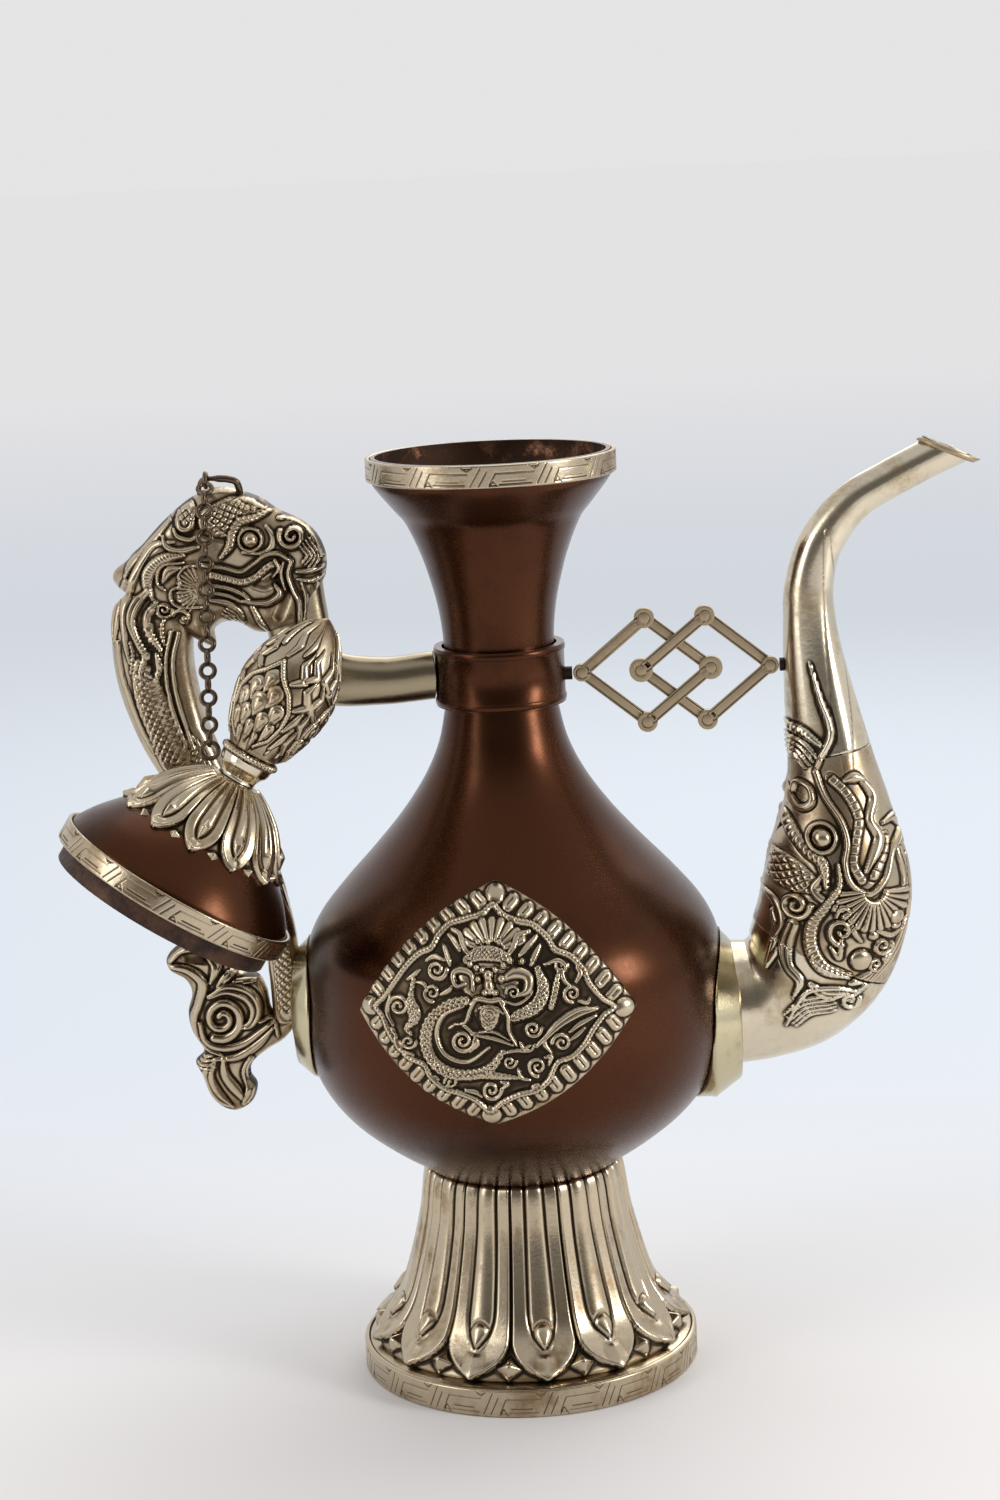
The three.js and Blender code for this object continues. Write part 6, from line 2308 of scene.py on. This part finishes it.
def plaque_drawing(turn: float, middle: float) -> Relief:
    """Border, beads and the dragon of a plaque."""
    pixel = 0.2042
    corner_of_drawing = (339.5, 861.2)
    d = TracedRelief(corner_of_drawing, (pixel, 0), (0, pixel), moat=0.5, turn=turn, middle=middle)
    corners = [(760, 178), (1380, 722), (745, 1235), (165, 712)]
    bows = (56, 78, 90, 93)
    for a, b, bow in zip(corners, corners[1:] + corners[:1], bows):
        way = np.array([b[0] - a[0], b[1] - a[1]], float)
        out = np.array([way[1], -way[0]]) / np.linalg.norm(way)
        for k in range(1, 10):
            centre = np.array(a) + way * k / 10 + out * bow * math.sin(math.pi * k / 10)
            d.add([centre - out * 20, centre, centre + out * 20], 30, 1.35, Cut.LEAF)
        d.ball(*a, 48, 1.7)
    border = [
        (750, 232), (700, 275), (620, 300), (545, 325), (490, 380), (455, 440), (400, 465), (340, 520),
        (280, 600), (235, 665), (192, 712), (225, 765), (255, 840), (300, 910), (350, 965), (425, 1000),
        (450, 1050), (520, 1110), (600, 1135), (670, 1165), (738, 1215), (800, 1175), (880, 1140),
        (960, 1120), (1020, 1070), (1060, 990), (1130, 960), (1190, 900), (1230, 830), (1280, 760),
        (1330, 718), (1275, 680), (1215, 610), (1180, 540), (1120, 480), (1050, 450), (1010, 390),
        (940, 330), (870, 312), (800, 282),
    ]
    d.add(border, 14, 1.6, Cut.ROPE, pitch=1.3, closed=True)
    plaque_clouds(d)
    plaque_dragon(d)
    return d


def plaque_clouds(d: Relief) -> None:
    """Clouds, claws and the flaming leaf round the dragon."""
    curls = (
        (482, 545, 48, 0, 1.5), (462, 652, 42, 90, 1.4), (300, 715, 50, 200, 1.5), (348, 888, 36, 0, 1.3),
        (550, 1083, 32, 180, 1.3), (745, 1118, 48, 0, 1.5), (965, 1008, 46, 90, 1.5), (832, 985, 32, 0, 1.3),
        (1080, 893, 46, 180, 1.5), (942, 825, 42, 0, 1.5), (1130, 655, 42, 90, 1.5), (1075, 520, 34, 0, 1.2),
    )
    for x, y, r, start, turns in curls:
        d.spiral(x, y, r, start, turns, 1.3)
    clouds = (
        [(520, 500), (470, 480), (430, 500)], [(500, 660), (540, 640), (555, 620)],
        [(260, 660), (245, 740), (275, 810)], [(285, 850), (300, 920), (370, 950)],
        [(1160, 690), (1200, 700), (1215, 680)], [(1020, 1000), (1030, 960), (1000, 965)],
        [(620, 1120), (670, 1130), (700, 1150)], [(800, 1110), (820, 1090), (790, 1080)],
        [(1150, 600), (1170, 560), (1150, 530)], [(1120, 880), (1160, 850), (1190, 820)],
        [(1030, 940), (1000, 900), (1010, 870)],
    )
    for line in clouds:
        d.add(line, [6, 13, 5], 1.1)
    flame_leaf = [(1250, 725), (1160, 745), (1070, 800), (1010, 860), (960, 910)]
    d.add(flame_leaf, [8, 26, 24, 16, 8], 1.5, Cut.LEAF)
    flame_vein = [(1245, 760), (1170, 800), (1120, 840)]
    d.add(flame_vein, [5, 14, 6], 1.2)
    hooks = (
        [(1000, 520), (1060, 500), (1100, 530), (1080, 570)], [(1080, 540), (1090, 590), (1120, 620)],
        [(800, 945), (860, 930), (930, 930), (950, 900)], [(880, 890), (900, 920), (930, 905)],
        [(870, 1020), (890, 1060), (930, 1070)], [(340, 590), (370, 570), (400, 545)],
        [(380, 600), (420, 610), (440, 640)],
    )
    for hook in hooks:
        d.add(hook, [5, 11, 10, 5], 1.4)


def plaque_dragon(d: Relief) -> None:
    """The dragon: body, legs, crown and face."""
    face_ground = [(640, 560), (725, 600), (820, 580)]
    d.add(face_ground, [60, 110, 60], 0.6, Cut.FLAT)
    throat_ground = [(730, 690), (728, 800)]
    d.add(throat_ground, [90, 40], 0.35, Cut.FLAT)
    crown_rays = (745, 470)
    d.fan(*crown_rays, 70, 160, 205, 335, 9, 19, 1.2)
    body = [
        (620, 690), (540, 710), (450, 790), (430, 900), (480, 1000), (590, 1048), (720, 1030),
        (800, 940),
    ]
    d.add(body, [24, 28, 30, 30, 30, 28, 26, 14], 1.5, Cut.SCALES, pitch=2.0)
    belly_line = [(610, 716), (515, 760), (482, 850), (525, 950), (630, 985), (735, 915)]
    d.add(belly_line, [6, 11, 12, 12, 11, 6], 1.4)
    tail = [(600, 1062), (720, 1050), (880, 1062)]
    d.add(tail, [12, 20, 8], 1.2, Cut.SCALES, pitch=1.5)
    right_shoulder = [(965, 540), (992, 640), (950, 720), (850, 770)]
    d.add(right_shoulder, [14, 32, 34, 24], 1.5, Cut.SCALES, pitch=1.7)
    shoulder_line = [(800, 690), (870, 705), (930, 660), (945, 610)]
    d.add(shoulder_line, [5, 9, 9, 5], 1.2)
    right_arm = [(1065, 560), (1050, 640), (1030, 720)]
    d.add(right_arm, [9, 16, 12], 1.3, Cut.SCALES, pitch=1.5)
    left_arm = [(372, 590), (358, 680), (375, 770), (340, 820), (360, 850)]
    d.add(left_arm, [10, 14, 34, 20, 8], 1.5, Cut.SCALES, pitch=1.6)
    body_curl = (608, 882)
    d.spiral(*body_curl, 58, 0, 1.7, 1.5)
    body_vein = [(540, 820), (600, 800), (680, 890), (640, 940)]
    d.add(body_vein, [6, 9, 9, 6], 1.0)
    crown_studs = ((680, 414), (727, 414), (780, 414))
    for x, y in crown_studs:
        d.ball(x, y, 13, 1.4)
    horns = (
        [(555, 352), (590, 375), (612, 440), (640, 475)],
        [(925, 362), (870, 385), (848, 440), (820, 475)], [(960, 385), (920, 430), (880, 475)],
        [(975, 430), (950, 480), (935, 520)], [(515, 430), (530, 470), (545, 520)],
        [(540, 380), (565, 410), (590, 450)],
    )
    for line in horns:
        d.add(line, [8, 14, 14, 8], 1.5, Cut.LEAF)
    brow = [(625, 500), (680, 470), (760, 470), (830, 500)]
    d.add(brow, [20, 32, 32, 20], 1.7, Cut.SCALES, pitch=1.5)
    brow_pearls = ((640, 520), (670, 535), (700, 548), (760, 545), (800, 525), (832, 500), (890, 505))
    for x, y in brow_pearls:
        d.ball(x, y, 15, 1.7)
    left_eye_fold = [(655, 640), (650, 570), (600, 545), (560, 565), (575, 620), (620, 610)]
    d.add(left_eye_fold, [7, 12, 16, 14, 12, 6], 1.7)
    right_eye_fold = [(800, 590), (860, 560), (920, 580), (915, 640), (870, 665)]
    d.add(right_eye_fold, [12, 26, 26, 22, 8], 1.9)
    cheek_curl = (848, 652)
    d.spiral(*cheek_curl, 34, 180, 1.3, 1.5)
    left_eye = (680, 590)
    d.ball(*left_eye, 16, 2.0)
    right_eye = (790, 588)
    d.ball(*right_eye, 19, 2.0)
    nose_bridge = [(727, 560), (730, 600), (735, 640)]
    d.add(nose_bridge, [16, 22, 26], 2.1)
    nose = (727, 570)
    d.ball(*nose, 24, 2.2)
    nostrils = ((712, 652), (760, 652))
    for x, y in nostrils:
        d.ball(x, y, 17, 2.1)
    upper_lip = [(645, 705), (680, 680), (740, 690), (785, 685), (805, 710)]
    d.add(upper_lip, [8, 15, 15, 15, 8], 1.9)
    left_whisker = [(665, 690), (640, 735), (620, 790), (570, 802)]
    d.add(left_whisker, [9, 10, 9, 5], 1.8)
    right_whisker = [(790, 700), (822, 760), (830, 840), (865, 905)]
    d.add(right_whisker, [9, 11, 10, 6], 1.8)
    teeth = [(685, 725), (725, 715), (770, 725), (800, 750)]
    d.add(teeth, [6, 12, 12, 6], 1.4, Cut.ROPE, pitch=1.1)
    chin = [(735, 755), (732, 790), (728, 830)]
    d.add(chin, [50, 38, 10], 1.2, Cut.SCALES, pitch=1.2)
    mouth_line = [(650, 850), (755, 872), (850, 905)]
    d.add(mouth_line, [6, 12, 5], 1.5)
    mouth_crease = [(655, 845), (750, 840), (830, 880)]
    d.add(mouth_crease, [4, 7, 4], 1.2)


# Camera, light and ground


@dataclass
class Studio:
    """The camera at the photograph's place, soft lamps and a pale floor."""

    view: View = View()

    def build(self) -> None:
        """Makes camera, lamps, world and floor."""
        bpy.context.scene.view_settings.view_transform = "Standard"
        self.camera()
        self.sky()
        self.lamps()
        clear_selection()
        bpy.ops.mesh.primitive_circle_add(vertices=96, radius=30, fill_type="NGON", location=(0, 0, -0.0002))
        floor = bpy.context.object
        floor.name = "floor"
        settle(floor)
        floor.data.materials.append(Ground("pale_floor_painted_light").material())

    def camera(self) -> None:
        """Sets the camera."""
        data = bpy.data.cameras.new("camera")
        data.sensor_width = 36
        data.lens = self.view.focal * data.sensor_width / self.view.height
        data.clip_start, data.clip_end = 0.05, 100
        cam = bpy.data.objects.new("camera", data)
        bpy.context.scene.collection.objects.link(cam)
        right, up, look = (Vector(axis) for axis in self.view.axes())
        turn = Matrix((right, up, -look)).transposed().to_4x4()
        cam.matrix_world = Matrix.Translation(Vector(self.view.eye) * MM) @ turn
        bpy.context.scene.camera = cam

    @staticmethod
    def sky() -> None:
        """A studio that is pale all round, dimmer overhead and dark behind the camera."""
        world = bpy.data.worlds.new("studio")
        bpy.context.scene.world = world
        world.use_nodes = True
        bench = Bench(world.node_tree)
        way = bench.make("ShaderNodeTexCoord", out="Generated")
        parts = bench.node("ShaderNodeSeparateXYZ", {}, {0: way})
        height = Wire(bench, parts.outputs[2])
        front = Wire(bench, parts.outputs[1])
        dim = bench.between(front, -0.3, -0.85)
        colour = bench.mix(dim, (0.785, 0.78, 0.787), (0.15, 0.145, 0.14))
        colour = bench.mix(bench.between(height, 0.5, 0.95), colour, (0.62, 0.62, 0.63))
        background = bench.node("ShaderNodeBackground", {}, {"Color": colour, "Strength": 1.0})
        bench.node("ShaderNodeOutputWorld", {}, {"Surface": Wire(bench, background.outputs[0])})

    @staticmethod
    def lamps() -> None:
        """A wide soft sun and three soft boxes."""
        sun = bpy.data.lights.new("soft_sun", "SUN")
        sun.energy, sun.angle = 0.75, math.radians(60)
        lamp = bpy.data.objects.new("soft_sun", sun)
        lamp.rotation_euler = Vector((0.3, 0.7, 1.0)).to_track_quat("Z", "Y").to_euler()
        bpy.context.scene.collection.objects.link(lamp)
        boxes = (
            ("left_box", (-1.1, -0.7, 0.7), (0.5, 1.1), 4.0),
            ("right_box", (1.1, -0.5, 0.55), (0.3, 0.45), 5.5),
            ("back_box", (0.25, 1.2, 0.9), (1.0, 0.6), 2.5),
        )
        for name, spot, size, energy in boxes:
            area = bpy.data.lights.new(name, "AREA")
            area.shape = "RECTANGLE"
            area.size, area.size_y = size
            area.energy = energy
            box = bpy.data.objects.new(name, area)
            box.location = spot
            box.rotation_euler = (Vector(spot) - Vector((0, 0, 0.2))).to_track_quat("Z", "Y").to_euler()
            bpy.context.scene.collection.objects.link(box)


def main() -> None:
    """Builds the ewer in order."""
    Studio().build()
    shop = Workshop()
    for part in (Vessel(), Foot(), Lid(), Chain(), Spout(), Handle(), Brace(), Plaque()):
        log.info("building %s", type(part).__name__)
        part.build(shop)
    clear_selection()


if __name__ == "__main__":
    logging.basicConfig(level=logging.INFO, format="%(name)s: %(message)s")
    main()
